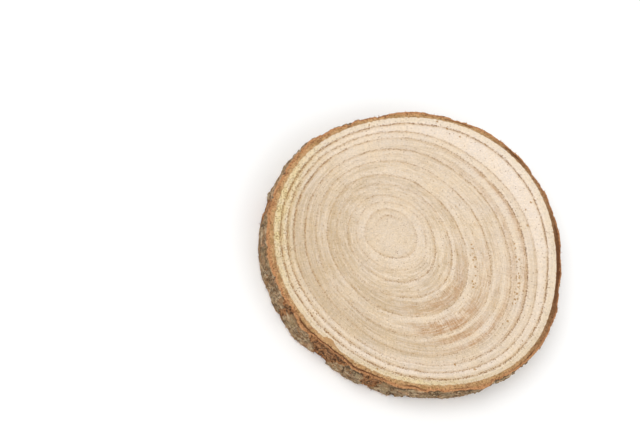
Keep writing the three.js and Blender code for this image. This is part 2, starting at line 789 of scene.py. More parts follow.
@dataclass(frozen=True)
class YearSockets:
    """Where a point of the sawn face lies among the years.

    Attributes:
        age: The years grown, with the lines' wandering in it.
        part: How far its year has got, from 0 to 1.
        width: Its year's width in millimetres.
        since: The distance from the last year line in millimetres.
        until: The distance to the next one.
        away: The distance to the nearer of the two.
        strength: How strong that line is.
    """

    age: Socket
    part: Socket
    width: Socket
    since: Socket
    until: Socket
    away: Socket
    strength: Socket


@dataclass(frozen=True)
class SawnWoodFinish:
    """Raw sawn end grain: year lines dotted with pores, rays, and stained, yellow and pale parts.

    A pair of distances says where something starts to show and where it shows fully.
    """

    cream: Colour = paint(238, 218, 193)
    tan: Colour = paint(209, 185, 153)
    sap: Colour = paint(235, 213, 163)
    blush: Colour = paint(248, 230, 210)
    stain: Colour = paint(192, 148, 107)
    late: Colour = paint(204, 167, 116)
    line: Colour = paint(170, 120, 66)
    line_dark: Colour = paint(122, 90, 62)
    pore: Colour = paint(138, 90, 42)
    pore_yellow: Colour = paint(142, 98, 36)
    pit: Colour = paint(172, 122, 46)
    bast: Colour = paint(192, 150, 104)
    shine: float = 0.25
    relief_mm: float = 0.05

    # Rays. They stand closer together outside a part near the pith.
    ray_noise: Triple = (1.0, 3.0, 0.65)
    ray_steps: Range = (36.0, 84.0)
    ray_change_mm: Range = (13.0, 27.0)
    ray_drift: float = 0.3
    ray_range: Range = (0.2, 0.8)

    # Year lines: they wander, fray along the rays, and are broken and dotted.
    wander_mm: Mottle = Mottle(0.09, 2.0, 0.5, 0.0, 1.0, -0.35, 0.35, eased=False)
    fray_mm: float = 0.14
    broken: Mottle = Mottle(0.35, 3.0, 0.6, 0.3, 0.65, 0.4, 1.1)
    dotted: Mottle = Mottle(2.4, 2.0, 0.6, 0.35, 0.6, 0.3)
    line_mm: Range = (0.38, 0.04)
    line_dark_from: Range = (0.95, 1.35)
    line_opacity: float = 0.56
    halo_mm: Range = (1.2, 0.1)
    halo_opacity: float = 0.45
    bright_mm: tuple[Range, Range] = ((1.6, 0.6), (0.15, 0.55))

    # Pores: crowded on the year lines and in the yellow wood, and thinly scattered elsewhere.
    pores_in_mm: float = 2.1
    pore_cells: Range = (0.5, 0.26)
    crowd_mm: Range = (0.54, 0.14)
    crowd_share: Range = (0.035, 0.85)
    sap_patches: Mottle = Mottle(0.3, 3.0, 0.6, 0.3, 0.6, 0.45, 1.15)
    sap_crowd: float = 0.58
    sap_crowd_mm: float = -0.3
    pore_seen: Ramp = (0.1, 0.9, 0.32, 0.74)
    pore_seen_in_sap: float = 0.8

    # Bands within the years: how many a year has, and how quickly they change round the trunk.
    band_noise: Mottle = Mottle(1.0, 2.0, 0.6, 0.25, 0.75, -1.0, 1.0, eased=False)
    broad_bands: Range = (4.2, 2.4)
    fine_bands: Range = (11.0, 5.0)
    dashes: Range = (17.0, 11.0)
    dash_range: Ramp = (0.1, 0.8, 0.0, 0.42)
    dash_ages: Range = (10.5, 8.0)
    calm_pith: Ramp = (4.0, 16.0, 0.25, 1.0)

    # Stains: where they start and end in a year, and how patchy they are.
    stain_fray: float = 0.17
    stain_waver: float = 0.16
    stain_part: Range = (-0.22, 0.26)
    stain_end_mm: Range = (0.1, 0.7)
    stain_noise: Triple = (0.3, 3.0, 0.65)
    stain_dashed: float = 0.3
    stain_filled: float = 0.2
    stain_patches: Ramp = (0.3, 0.85, 0.12, 1.0)
    stain_on_rays: Ramp = (0.3, 0.7, 1.25, 0.75)

    # How light the wood is.
    light_fine: float = 0.3
    light_broad: float = 0.42
    light_bright: float = 0.3
    light_unstained: float = 0.35
    light_streak: float = 0.1
    cloud_noises: tuple[Triple, ...] = ((0.07, 3.0, 0.5), (1.4, 4.0, 0.8))
    cloud_range: Range = (0.05, 0.95)
    blush_range: Ramp = (0.1, 0.6, 0.55, 1.0)

    # Golden pits, on the two ages that they follow, and a few on their own in the pale wood.
    pitted_ages: tuple[float, ...] = (10.2, 6.32)
    pit_row_mm: Range = (0.9, 0.3)
    pits_in_mm: float = 0.95
    pit_cells: Range = (0.42, 0.22)
    pit_bend: Mottle = Mottle(1.6, 3.0, 0.7, 0.2, 0.8, -0.5, 0.5, eased=False)
    pit_bend_way: Triple = (1.0, -0.6, 0.0)
    pit_chance: float = 0.8
    pit_chance_alone: float = 0.013
    pit_opacity: float = 0.75

    # The grain that everything is multiplied by, the edge beside the bark, and the roughness.
    speckle: Mottle = Mottle(2.3, 4.0, 0.8, 0.25, 0.75, 0.78, 1.22, eased=False)
    scratches: Mottle = Mottle(1.0, 3.0, 0.6, 0.25, 0.75, 0.965, 1.035, eased=False)
    scratch_turn_deg: float = 6.0
    scratch_size: Triple = (0.28, 2.4, 1.0)
    hue: Mottle = Mottle(1.5, 3.0, 0.75, 0.25, 0.75, -1.0, 1.0, eased=False, shift=(13.0, 5.0, 0.0))
    hue_patch: Mottle = Mottle(0.15, 3.0, 0.5, 0.3, 0.7, -0.5, 0.5, eased=False, shift=(40.0, 9.0, 0.0))
    hue_red: float = 0.03
    hue_blue: float = -0.08
    ray_shade: Range = (0.93, 1.07)
    ragged_mm: Mottle = Mottle(0.9, 4.0, 0.7, 0.0, 1.0, -0.75, 0.75, eased=False)
    bast_mm: Range = (0.16, 0.02)
    roughness: Mottle = Mottle(1.7, 4.0, 0.8, 0.2, 0.8, 0.7, 0.86, eased=False)
    ray_height: Range = (0.5, 0.8)
    pore_depth: float = 0.5
    line_depth: float = 0.25

    def rays(self, bench: Bench, toward: object, reach: object) -> Socket:
        """The rays: thin streaks that run out from the pith.

        Args:
            bench: The material's bench.
            toward: The direction from the pith.
            reach: The distance from the pith in millimetres.

        Returns:
            Streaks from 0 to 1.
        """
        along = bench.join(0.0, 0.0, bench.times(reach, self.ray_drift))
        inner, outer = (
            bench.noise(bench.shifted(bench.stretch(toward, steps), along), *self.ray_noise)
            for steps in self.ray_steps
        )
        return bench.between(bench.ease(reach, *self.ray_change_mm), inner, outer)

    def bands(self, bench: Bench, age: object, toward: object, counts: Range) -> Socket:
        """Faint bands of lighter and darker wood within the years.

        Args:
            bench: The material's bench.
            age: The age.
            toward: The direction from the pith.
            counts: How many bands a year has, and how quickly a band changes round the trunk.

        Returns:
            Bands from -1 to 1.
        """
        in_year, round_trunk = counts
        at = bench.join(0.0, 0.0, bench.times(age, in_year))
        return bench.mottle(bench.shifted(at, bench.stretch(toward, round_trunk)), self.band_noise)

    def years(self, bench: Bench, flat: object, streak: object) -> YearSockets:
        """Works out where a point lies among the years.

        Args:
            bench: The material's bench.
            flat: The place on the face in millimetres.
            streak: The rays, from -1 to 1.

        Returns:
            The sockets that say so.
        """
        width = bench.trait(Trait.YEAR_MM)
        moved = bench.times_plus(streak, self.fray_mm, bench.mottle(flat, self.wander_mm))
        age = bench.plus(bench.trait(Trait.AGE), bench.maths("DIVIDE", moved, width))
        part = bench.maths("FRACT", age)
        since = bench.times(part, width)
        until = bench.times(bench.minus(1.0, part), width)
        away = bench.maths("MINIMUM", since, until)
        strength = bench.times(bench.trait(Trait.LINE), bench.mottle(flat, self.broken))
        return YearSockets(age, part, width, since, until, away, strength)

    def pores(self, bench: Bench, flat: object, year: YearSockets, sap: object) -> Socket:
        """The pores: 1 in an open pore and 0 between them."""
        distance, chance = bench.cells(flat, self.pores_in_mm)
        near = bench.times_plus(sap, self.sap_crowd_mm, year.away)
        crowd = bench.times(bench.ease(near, *self.crowd_mm), year.strength)
        crowd = bench.times_plus(sap, self.sap_crowd, crowd)
        open_pore = bench.maths("LESS_THAN", chance, bench.span(crowd, 0.0, 1.0, *self.crowd_share))
        return bench.times(bench.ease(distance, *self.pore_cells), open_pore)

    def stained_part(self, bench: Bench, year: YearSockets, streak: object, broad: object) -> Socket:
        """The part of each year that its stain reaches: 1 inside it and 0 outside."""
        starts = bench.times_plus(streak, self.stain_fray, bench.trait(Trait.STAIN_FROM))
        starts = bench.times_plus(broad, self.stain_waver, starts)
        within = bench.ease(bench.minus(year.part, starts), *self.stain_part)
        return bench.times(within, bench.ease(year.until, *self.stain_end_mm))

    def base(self, bench: Bench, flat: object, light: object, sap: object) -> Socket:
        """The wood's broad colours.

        Args:
            bench: The material's bench.
            flat: The place on the face in millimetres.
            light: How light the wood is, about 0 in the middle.
            sap: How yellow it is.

        Returns:
            The colour.
        """
        cloud = bench.between(0.5, *(bench.noise(flat, *noise) for noise in self.cloud_noises))
        # The tone trait brings the wood's own tone and a painted lighting gradient across the face.
        level = bench.plus(cloud, bench.trait(Trait.TONE), light)
        colour = bench.blend(bench.span(level, *self.cloud_range, 0.0, 1.0), self.tan, self.cream)
        pale = bench.times(bench.trait(Trait.BLUSH), bench.span(level, *self.blush_range))
        colour = bench.blend(pale, colour, self.blush)
        return bench.blend(sap, colour, self.sap)

    def build(self) -> Material:
        """Builds the material."""
        bench = Bench("sawn_wood", self.shine)
        spot = bench.millimetres(Vector((*Growth.PITH, 0.0)))
        flat = bench.vector("MULTIPLY", spot, (1.0, 1.0, 0.0))
        reach = bench.node("ShaderNodeVectorMath", {0: flat}, operation="LENGTH").outputs["Value"]
        toward = bench.vector("NORMALIZE", flat)
        rays = self.rays(bench, toward, reach)
        streak = bench.span(rays, *self.ray_range, -1.0, 1.0)
        year = self.years(bench, flat, streak)
        sap = bench.times(bench.trait(Trait.SAP), bench.mottle(flat, self.sap_patches))
        pore = self.pores(bench, flat, year, sap)
        line = bench.times(bench.ease(year.away, *self.line_mm), year.strength)
        line = bench.times(line, bench.mottle(flat, self.dotted))

        # How light the wood is: bands, a bright start to each year, and pale wood before a stain.
        broad, fine, dashes = (
            self.bands(bench, year.age, toward, counts)
            for counts in (self.broad_bands, self.fine_bands, self.dashes)
        )
        beyond_pith = bench.ease(reach, *self.calm_pith)
        stain = bench.trait(Trait.STAIN)
        within = self.stained_part(bench, year, streak, broad)
        bright = bench.times(*(bench.ease(year.since, *mm) for mm in self.bright_mm), year.strength)
        light = bench.times_plus(fine, self.light_fine, bench.times(broad, self.light_broad))
        light = bench.plus(bench.times(light, beyond_pith), bench.trait(Trait.PALE))
        light = bench.times_plus(bright, self.light_bright, light)
        unstained = bench.times(stain, bench.minus(1.0, within))
        light = bench.times_plus(unstained, self.light_unstained, light)
        light = bench.times_plus(streak, self.light_streak, light)
        colour = self.base(bench, flat, light, sap)

        # The browner wood before each line, and dashes of it in the older years.
        halo = bench.times(bench.ease(year.until, *self.halo_mm), year.strength)
        colour = bench.blend(bench.times(halo, self.halo_opacity), colour, self.late)
        older = bench.times(bench.ease(year.age, *self.dash_ages), beyond_pith)
        colour = bench.blend(bench.times(bench.ease(dashes, *self.dash_range), older), colour, self.late)

        # Stains, then the drawn lines and the pores over them.
        patchy = bench.times_plus(dashes, self.stain_dashed, bench.noise(flat, *self.stain_noise))
        patchy = bench.ease(bench.times_plus(stain, self.stain_filled, patchy), *self.stain_patches)
        on_rays = bench.span(rays, *self.stain_on_rays)
        colour = bench.blend(bench.times(within, stain, patchy, on_rays), colour, self.stain)
        drawn = bench.blend(bench.ease(year.strength, *self.line_dark_from), self.line, self.line_dark)
        drawn = bench.blend(sap, drawn, self.pore_yellow)
        colour = bench.blend(bench.times(line, self.line_opacity), colour, drawn)
        dot = bench.blend(sap, self.pore, self.pore_yellow)
        seen_in_sap = bench.times(sap, self.pore_seen_in_sap)
        seen = bench.most(bench.span(year.strength, *self.pore_seen), seen_in_sap)
        colour = bench.blend(bench.times(pore, seen), colour, dot)
        colour = bench.blend(self.pits(bench, flat, year), colour, self.pit)
        colour = bench.blend(self.bark_rim(bench, flat), colour, self.bast)
        colour = bench.vector("MULTIPLY", colour, self.grain(bench, spot, flat, rays))

        height = bench.span(rays, *self.ray_range, *self.ray_height)
        height = bench.minus(height, bench.times(pore, self.pore_depth))
        height = bench.minus(height, bench.times(line, self.line_depth))
        return bench.surface(colour, bench.mottle(spot, self.roughness), height, self.relief_mm)

    def grain(self, bench: Bench, spot: object, flat: object, rays: object) -> Socket:
        """The fine grain of the sawn face: what its colours are multiplied by.

        Args:
            bench: The material's bench.
            spot: The place in millimetres.
            flat: The same place without its height.
            rays: The rays.

        Returns:
            A colour near white.
        """
        way = (0.0, 0.0, math.radians(self.scratch_turn_deg))
        inputs = {"Vector": flat, "Rotation": way, "Scale": self.scratch_size}
        turned = bench.node("ShaderNodeMapping", inputs, vector_type="POINT").outputs["Vector"]
        fine = bench.times(bench.mottle(spot, self.speckle), bench.mottle(turned, self.scratches))
        shade = bench.times(bench.span(rays, *self.ray_range, *self.ray_shade), fine)
        hue = bench.plus(bench.mottle(flat, self.hue), bench.mottle(flat, self.hue_patch))
        red = bench.times_plus(hue, self.hue_red, shade)
        blue = bench.times_plus(hue, self.hue_blue, shade)
        return bench.join(red, shade, blue)

    def pits(self, bench: Bench, flat: object, year: YearSockets) -> Socket:
        """Small golden pits in short rows, and a few on their own in the pale wood."""
        offs = [bench.maths("ABSOLUTE", bench.minus(year.age, age)) for age in self.pitted_ages]
        row = bench.most(*(bench.ease(bench.times(off, year.width), *self.pit_row_mm) for off in offs))
        bent = bench.stretch(self.pit_bend_way, bench.mottle(flat, self.pit_bend))
        distance, chance = bench.cells(bench.shifted(flat, bent), self.pits_in_mm)
        here = bench.times(row, bench.trait(Trait.PITTED), self.pit_chance)
        here = bench.times_plus(bench.trait(Trait.BLUSH), self.pit_chance_alone, here)
        open_pit = bench.times(bench.maths("LESS_THAN", chance, here), self.pit_opacity)
        return bench.times(bench.ease(distance, *self.pit_cells), open_pit)

    def bark_rim(self, bench: Bench, flat: object) -> Socket:
        """Where bits of bast still cover the wood's ragged edge."""
        ragged = bench.mottle(flat, self.ragged_mm)
        return bench.ease(bench.plus(bench.trait(Trait.EDGE_MM), ragged), *self.bast_mm)


@dataclass(frozen=True)
class BarkFinish:
    """Weathered grey-brown bark, reddish where it is knocked bare, and tan where it is sawn through."""

    brown: Colour = paint(166, 130, 92)
    grey: Colour = paint(216, 190, 154)
    moss: Colour = paint(160, 138, 100)
    pink: Colour = paint(206, 158, 118)
    dark: Colour = paint(70, 50, 34)
    bare: Colour = paint(196, 142, 94)
    bare_dark: Colour = paint(132, 82, 48)
    wood: Colour = paint(226, 202, 160)
    bast: Colour = paint(216, 172, 122)
    bast_olive: Colour = paint(172, 134, 84)
    bast_deep: Colour = paint(200, 142, 95)
    cork: Colour = paint(92, 48, 25)
    lip: Colour = paint(226, 170, 121)
    shine: float = 0.18
    relief_mm: float = 0.25

    # The weathered outside.
    grey_patches: Mottle = Mottle(0.4, 4.0, 0.65, 0.42, 0.6)
    moss_patches: Mottle = Mottle(0.22, 3.0, 0.5, 0.5, 0.66, top=0.7, shift=(31.0, 7.0, 3.0))
    pink_patches: Mottle = Mottle(0.32, 3.0, 0.5, 0.56, 0.7, top=0.7, shift=(5.0, 43.0, 11.0))
    flecks: Mottle = Mottle(1.4, 4.0, 0.75, 0.54, 0.66, top=0.8)
    cracked_parts: Mottle = Mottle(0.3, 2.0, 0.5, 0.4, 0.58, shift=(31.0, 7.0, 3.0))
    crack_noise: Range = (3.0, 0.6)
    crack_width: float = 0.04
    long_cracks: float = 0.5
    short_cracks: float = 0.9
    short_crack_shift: Triple = (5.0, 43.0, 11.0)
    crack_opacity: float = 0.85
    # Painted shade: the outside darkens where its relief is low.
    hollow_shade: Ramp = (0.45, 0.12, 0.0, 0.8)

    # Where the outer bark is gone.
    fibre_size: Triple = (1.1, 1.1, 0.5)
    fibres: Mottle = Mottle(1.0, 4.0, 0.65, 0.32, 0.66)
    tear_size: Triple = (1.0, 1.0, 0.7)
    tears: float = 0.32
    tear_width: float = 0.045
    brown_left: Mottle = Mottle(0.5, 3.0, 0.6, 0.55, 0.68, top=0.6)

    # The sawn bark. Depth runs from 0 at the wood to 1 at the outside.
    uneven_depth: Mottle = Mottle(0.8, 4.0, 0.7, 0.0, 1.0, -0.45, 0.45, eased=False)
    deep_from: Range = (0.3, 0.85)
    olive_patches: Mottle = Mottle(0.5, 4.0, 0.7, 0.46, 0.58, top=0.8, shift=(3.0, 21.0, 8.0))
    olive_depth: Ramp = (0.8, 0.35, 0.15, 0.9)
    red_patches: Mottle = Mottle(0.6, 4.0, 0.7, 0.52, 0.64, top=0.55)
    wood_to: Range = (0.06, -0.06)
    specks: Mottle = Mottle(1.9, 4.0, 0.75, 0.52, 0.63)
    speck_depth: Ramp = (-0.1, 0.7, 0.5, 0.9)
    light_bits: Mottle = Mottle(1.3, 4.0, 0.75, 0.54, 0.66, top=0.75, shift=(9.0, 2.0, 5.0))
    dark_depth: Range = (1.05, 0.6)
    dark_opacity: float = 0.9

    # Where these meet, and the grit over all of it.
    bare_from: Range = (0.3, 0.7)
    rim_waver: Mottle = Mottle(1.3, 3.0, 0.5, 0.0, 1.0, -0.3, 0.3, eased=False)
    rim_from: Range = (0.35, 0.65)
    lip_patches: Mottle = Mottle(0.6, 4.0, 0.7, 0.46, 0.62)
    lip_opacity: float = 0.85
    grit: Triple = (2.2, 5.0, 0.7)
    grit_shade: Ramp = (0.25, 0.75, 0.68, 1.3)
    grit_roughness: Ramp = (0.2, 0.8, 0.8, 0.97)

    def cracks(self, bench: Bench, spot: object, scale: float, width: float) -> Socket:
        """Short crooked dark lines.

        Args:
            bench: The material's bench.
            spot: The place in millimetres.
            scale: How many lines there are in a millimetre.
            width: How wide they are, as a share of the noise's range.

        Returns:
            1 on a line and 0 off it.
        """
        level = bench.noise(spot, scale, *self.crack_noise)
        off = bench.maths("ABSOLUTE", bench.minus(level, 0.5))
        return bench.ease(off, width, width * 0.3)

    def outside(self, bench: Bench, spot: object) -> Socket:
        """The colour of the weathered outside, with painted shade where its relief is low.

        Args:
            bench: The material's bench.
            spot: The place in millimetres.

        Returns:
            The colour.
        """
        farther = bench.shifted(spot, self.short_crack_shift)
        colour, patches = self.brown, (self.grey_patches, self.moss_patches, self.pink_patches)
        for mottle, tint in zip(patches, (self.grey, self.moss, self.pink)):
            colour = bench.blend(bench.mottle(spot, mottle), colour, tint)
        flecks = bench.mottle(spot, self.flecks)
        long_cracks = self.cracks(bench, spot, self.long_cracks, self.crack_width)
        short_cracks = self.cracks(bench, farther, self.short_cracks, self.crack_width)
        lines = bench.times(bench.most(long_cracks, short_cracks), bench.mottle(spot, self.cracked_parts))
        # Painted shade where the relief is low, in the bark's dips and cracks.
        hollow = bench.ease(bench.trait(Trait.RELIEF), *self.hollow_shade)
        shade = bench.most(flecks, bench.times(lines, self.crack_opacity), hollow)
        return bench.blend(shade, colour, self.dark)

    def stripped(self, bench: Bench, spot: object) -> Socket:
        """The colour where the outer bark is gone: fibres up the trunk, and dark tears between them."""
        fibres = bench.mottle(bench.vector("MULTIPLY", spot, self.fibre_size), self.fibres)
        colour = bench.blend(fibres, self.bare_dark, self.bare)
        along = bench.vector("MULTIPLY", spot, self.tear_size)
        tears = self.cracks(bench, along, self.tears, self.tear_width)
        colour = bench.blend(bench.times(tears, self.crack_opacity), colour, self.dark)
        return bench.blend(bench.mottle(spot, self.brown_left), colour, self.brown)

    def sawn(self, bench: Bench, spot: object) -> Socket:
        """The colour of the sawn bark: tan bast beside the wood, redder and darker cork outside it."""
        depth = bench.plus(bench.trait(Trait.DEPTH), bench.mottle(spot, self.uneven_depth))
        colour = bench.blend(bench.ease(depth, *self.deep_from), self.bast, self.bast_deep)
        olive = bench.times(bench.mottle(spot, self.olive_patches), bench.ease(depth, *self.olive_depth))
        colour = bench.blend(olive, colour, self.bast_olive)
        colour = bench.blend(bench.mottle(spot, self.red_patches), colour, self.bare_dark)
        colour = bench.blend(bench.ease(depth, *self.wood_to), colour, self.wood)
        specks = bench.times(bench.mottle(spot, self.specks), bench.ease(depth, *self.speck_depth))
        colour = bench.blend(specks, colour, self.cork)
        colour = bench.blend(bench.mottle(spot, self.light_bits), colour, self.lip)
        dark_side = bench.times(bench.trait(Trait.TONE), bench.ease(depth, *self.dark_depth))
        return bench.blend(bench.times(dark_side, self.dark_opacity), colour, self.cork)

    def build(self) -> Material:
        """Builds the material."""
        bench = Bench("bark", self.shine)
        spot = bench.millimetres(Vector((0.0, 0.0, 0.0)))
        bare = bench.ease(bench.trait(Trait.BARE), *self.bare_from)
        outside = bench.blend(bare, self.outside(bench, spot), self.stripped(bench, spot))
        rim = bench.plus(bench.trait(Trait.RIM), bench.mottle(spot, self.rim_waver))
        colour = bench.blend(bench.ease(rim, *self.rim_from), self.sawn(bench, spot), outside)
        lip = bench.times(bench.trait(Trait.LIP), bench.mottle(spot, self.lip_patches))
        colour = bench.blend(bench.times(lip, self.lip_opacity), colour, self.lip)
        grit = bench.noise(spot, *self.grit)
        colour = bench.stretch(colour, bench.span(grit, *self.grit_shade))
        return bench.surface(colour, bench.span(grit, *self.grit_roughness), grit, self.relief_mm)


@dataclass(frozen=True)
class BitFinish:
    """The finish of small loose bits: two colours and a little grit."""

    name: str
    light: Colour
    dark: Colour
    shine: float = 0.15
    relief_mm: float = 0.08
    patches: Mottle = Mottle(0.8, 3.0, 0.65, 0.35, 0.65)
    grit: Triple = (3.0, 3.0, 0.6)
    grit_range: Range = (0.2, 0.8)
    grit_shade: Range = (0.85, 1.12)
    grit_roughness: Range = (0.8, 0.95)

    def build(self) -> Material:
        """Builds the material."""
        bench = Bench(self.name, self.shine)
        spot = bench.millimetres(Vector((0.0, 0.0, 0.0)))
        colour = bench.blend(bench.mottle(spot, self.patches), self.dark, self.light)
        grit = bench.noise(spot, *self.grit)
        colour = bench.stretch(colour, bench.span(grit, *self.grit_range, *self.grit_shade))
        roughness = bench.span(grit, *self.grit_range, *self.grit_roughness)
        return bench.surface(colour, roughness, grit, self.relief_mm)


# ------------ The sawn wood


@dataclass(frozen=True)
class Patch:
    """A part of the face whose wood differs.

    Attributes:
        strength: How much it differs.
        at: Its bearing in degrees.
        spread: Its half width in degrees.
        starts: How far out it starts, as shares of the way from the pith to the bark.
        ends: How far out it ends; none if it reaches the bark.
    """

    strength: float
    at: float
    spread: float
    starts: Range
    ends: Range | None = None

    def shown(self, bearing: Array, shares: Array) -> Array:
        """How much the wood differs at each point."""
        here = self.strength * bump(bearing, self.at, self.spread) * smooth(*self.starts, shares)
        return here if self.ends is None else here * smooth(*self.ends, shares)


@dataclass
class SawnWood:
    """The wood inside the bark, with both of its sawn faces.

    Attributes:
        outline: The slice's outline.
        columns: How many columns of points go round.
        year_steps: Where the points of one year lie, as parts of the year.
        sink_mm: How far the year lines lie below the face.
    """

    SAP_PATCHES = (Patch(1.0, 170.0, 34.0, (0.8, 0.97)), Patch(0.6, -84.0, 16.0, (0.95, 0.99)))
    SAP_RIM, SAP_RIM_FROM = 0.2, (0.93, 0.99)
    SAP_STRENGTH, SAP_HIDES_BLUSH = 0.85, 0.6
    YOUNG_AGES = (11.8, 12.3)
    BLUSH_SIDE_AT, BLUSH_SIDE_SPREAD, BLUSH_SIDE = 18.0, 52.0, 0.95
    BLUSH_YOUNG, BLUSH_OUTER, BLUSH_OUTER_FROM = 0.6, 0.4, (0.66, 0.86)
    BLUSH_PATCHES = (
        Patch(0.6, -85.0, 40.0, (0.8, 0.88), (0.97, 0.93)),
        Patch(0.5, 90.0, 40.0, (0.75, 0.9)),
    )
    # Lighter towards one side of the face: partly the wood's own tone and partly painted light, a lighting
    # gradient painted into the colour.
    TONE_SLOPE, TONE_SLOPE_AT, TONE_SLOPE_FROM = 0.3, 40.0, (0.1, 0.6)
    TONE_MIDDLE, TONE_MIDDLE_TO = 0.24, (0.4, 0.15)
    TONE_PATCHES = (
        Patch(0.24, -108.0, 42.0, (0.25, 0.4), (0.74, 0.62)),
        Patch(0.42, 112.0, 28.0, (0.6, 0.7)),
        Patch(0.38, -138.0, 30.0, (0.8, 0.86)),
    )
    PITS_AT, PITS_SPREAD = -22.0, 13.0
    RIPPLE_MM = 0.02  # how far the saw left the faces uneven
    RIPPLES = {Face.UPPER: Lumps(9, 2.5), Face.UNDER: Lumps(10, 2.5)}
    MAP_UPPER, MAP_UNDER = (0.334, 0.65), (0.757, 0.46)  # each face's middle on the map, and its size
    MAP_WALL = (0.7, 0.26, 0.02, 0.06)  # the wall's left end, its length, its foot and its top

    outline: Outline
    columns: int = 400
    year_steps: tuple[float, ...] = (0.0, 0.07, 0.25, 0.5, 0.75, 0.93)
    sink_mm: float = 0.03
    growth: Growth = field(init=False)

    def __post_init__(self) -> None:
        """Lays out the years."""
        self.growth = Growth(self.outline, self.columns)

    def ages(self) -> Array:
        """The age of each row of points, from just outside the pith to the bark."""
        steps = [year + step for year in range(self.growth.years) for step in self.year_steps]
        return np.array(steps[1:] + [float(self.growth.years)])

    def line_strength(self, ages: Array) -> Array:
        """How strong the nearest year line is at each point."""
        bearing = self.growth.bearing
        drawn = [line.drawn(bearing) for line in YEAR_LINES]
        table = np.array([np.full_like(bearing, PITH_LINE), *drawn, np.zeros_like(bearing)])
        nearest = np.clip(np.round(ages).astype(int), 0, len(table) - 1)
        return table[nearest]

    def years_wood(self, ages: Array) -> dict[Trait, Array]:
        """What the wood of each year is like, one row for each age."""
        bearing = self.growth.bearing
        lines = (*YEAR_LINES, YOUNGEST)
        year = np.clip(np.ceil(ages).astype(int) - 1, 0, len(lines) - 1)
        stains = np.array([line.stain.shown(bearing) for line in lines])
        return {
            Trait.PALE: np.array([np.full_like(bearing, line.pale) for line in lines])[year],
            Trait.STAIN: np.clip(stains, 0, 1)[year],
            Trait.STAIN_FROM: np.array([np.full_like(bearing, line.stain.start) for line in lines])[year],
        }

    def shades(self, ages: Array, shares: Array) -> dict[Trait, Array]:
        """The yellow, pale and light parts of the face; part of the light is painted light that brightens
        one side.
        """
        bearing = self.growth.bearing[None]

        def patches(several: tuple[Patch, ...]) -> Array:
            """How much several patches differ together."""
            return sum(patch.shown(bearing, shares) for patch in several)

        sap = patches(self.SAP_PATCHES) + self.SAP_RIM * smooth(*self.SAP_RIM_FROM, shares)
        sap = np.clip(sap, 0, 1)
        young = smooth(*self.YOUNG_AGES, ages)[:, None]
        side = self.BLUSH_YOUNG * young + self.BLUSH_OUTER * smooth(*self.BLUSH_OUTER_FROM, shares)
        side = side * bump(bearing, self.BLUSH_SIDE_AT, self.BLUSH_SIDE_SPREAD)
        blush = np.clip(self.BLUSH_SIDE * side + patches(self.BLUSH_PATCHES), 0, 1)
        slope = np.cos(bearing - math.radians(self.TONE_SLOPE_AT)) * smooth(*self.TONE_SLOPE_FROM, shares)
        tone = self.TONE_SLOPE * slope + self.TONE_MIDDLE * smooth(*self.TONE_MIDDLE_TO, shares)
        return {
            Trait.SAP: self.SAP_STRENGTH * sap,
            Trait.BLUSH: blush * (1 - self.SAP_HIDES_BLUSH * sap),
            Trait.TONE: tone + patches(self.TONE_PATCHES),
        }

    def rows(self) -> tuple[Array, dict[Trait, Array]]:
        """The points of one face, row by row, and their traits."""
        ages = self.ages()
        shares = self.growth.share_at(ages)
        pith = np.array(self.growth.PITH)
        spots = pith + shares[..., None] * (self.growth.edge - pith)[None]
        spots = np.concatenate([spots, np.zeros((*shares.shape, 1))], axis=2)
        traits = {
            Trait.AGE: np.repeat(ages[:, None], self.columns, axis=1),
            Trait.YEAR_MM: self.growth.year_mm(ages),
            Trait.LINE: self.line_strength(ages),
            Trait.EDGE_MM: (1 - shares) * self.growth.reach / MM - self.growth.scar(),
            Trait.PITTED: bump(self.growth.bearing, self.PITS_AT, self.PITS_SPREAD) * np.ones_like(shares),
            **self.years_wood(ages),
            **self.shades(ages, shares),
        }
        return spots, traits

    def lay_face(self, face: Face, spots: Array, traits: dict[Trait, Array]) -> Array:
        """Lifts the rows to a sawn face, with the year lines a little sunk.

        Args:
            face: Which face.
            spots: The rows of points.
            traits: Their traits.

        Returns:
            The points of that face, the pith last.
        """
        near_line = 1 - np.abs(traits[Trait.AGE] - np.round(traits[Trait.AGE])) * 2
        ripple = self.RIPPLE_MM * (0.5 + 0.5 * self.RIPPLES[face].read(spots / MM))
        sink = (self.sink_mm * near_line**4 * traits[Trait.LINE] + ripple) * MM
        outward, level = self.outline.way(face)
        laid = spots.copy()
        laid[..., 2] = level - outward * np.clip(sink, 0, None)
        middle = np.array([[*self.growth.PITH, level - outward * self.sink_mm * MM]])
        return np.concatenate([laid.reshape(-1, 3), middle])

    def faces(self, row_count: int) -> Array:
        """The faces of the closed disc: the upper face, the under face and the wall between them."""
        size = row_count * self.columns + 1
        inner = np.arange((row_count - 1) * self.columns)
        column = inner % self.columns
        beside = inner - column + (column + 1) % self.columns
        quads = np.stack([inner, inner + self.columns, beside + self.columns, beside], axis=1)
        first = np.arange(self.columns)
        following = (first + 1) % self.columns
        pith, none = np.full(self.columns, size - 1), np.full(self.columns, -1)
        upper = np.concatenate([quads, np.stack([pith, first, following, none], axis=1)])
        under_fan = np.stack([pith + size, following + size, first + size, none], axis=1)
        under = np.concatenate([quads[:, [0, 3, 2, 1]] + size, under_fan])
        top, top_beside = first + size - 1 - self.columns, following + size - 1 - self.columns
        wall = np.stack([top, top + size, top_beside + size, top_beside], axis=1)
        return np.concatenate([upper, under, wall])

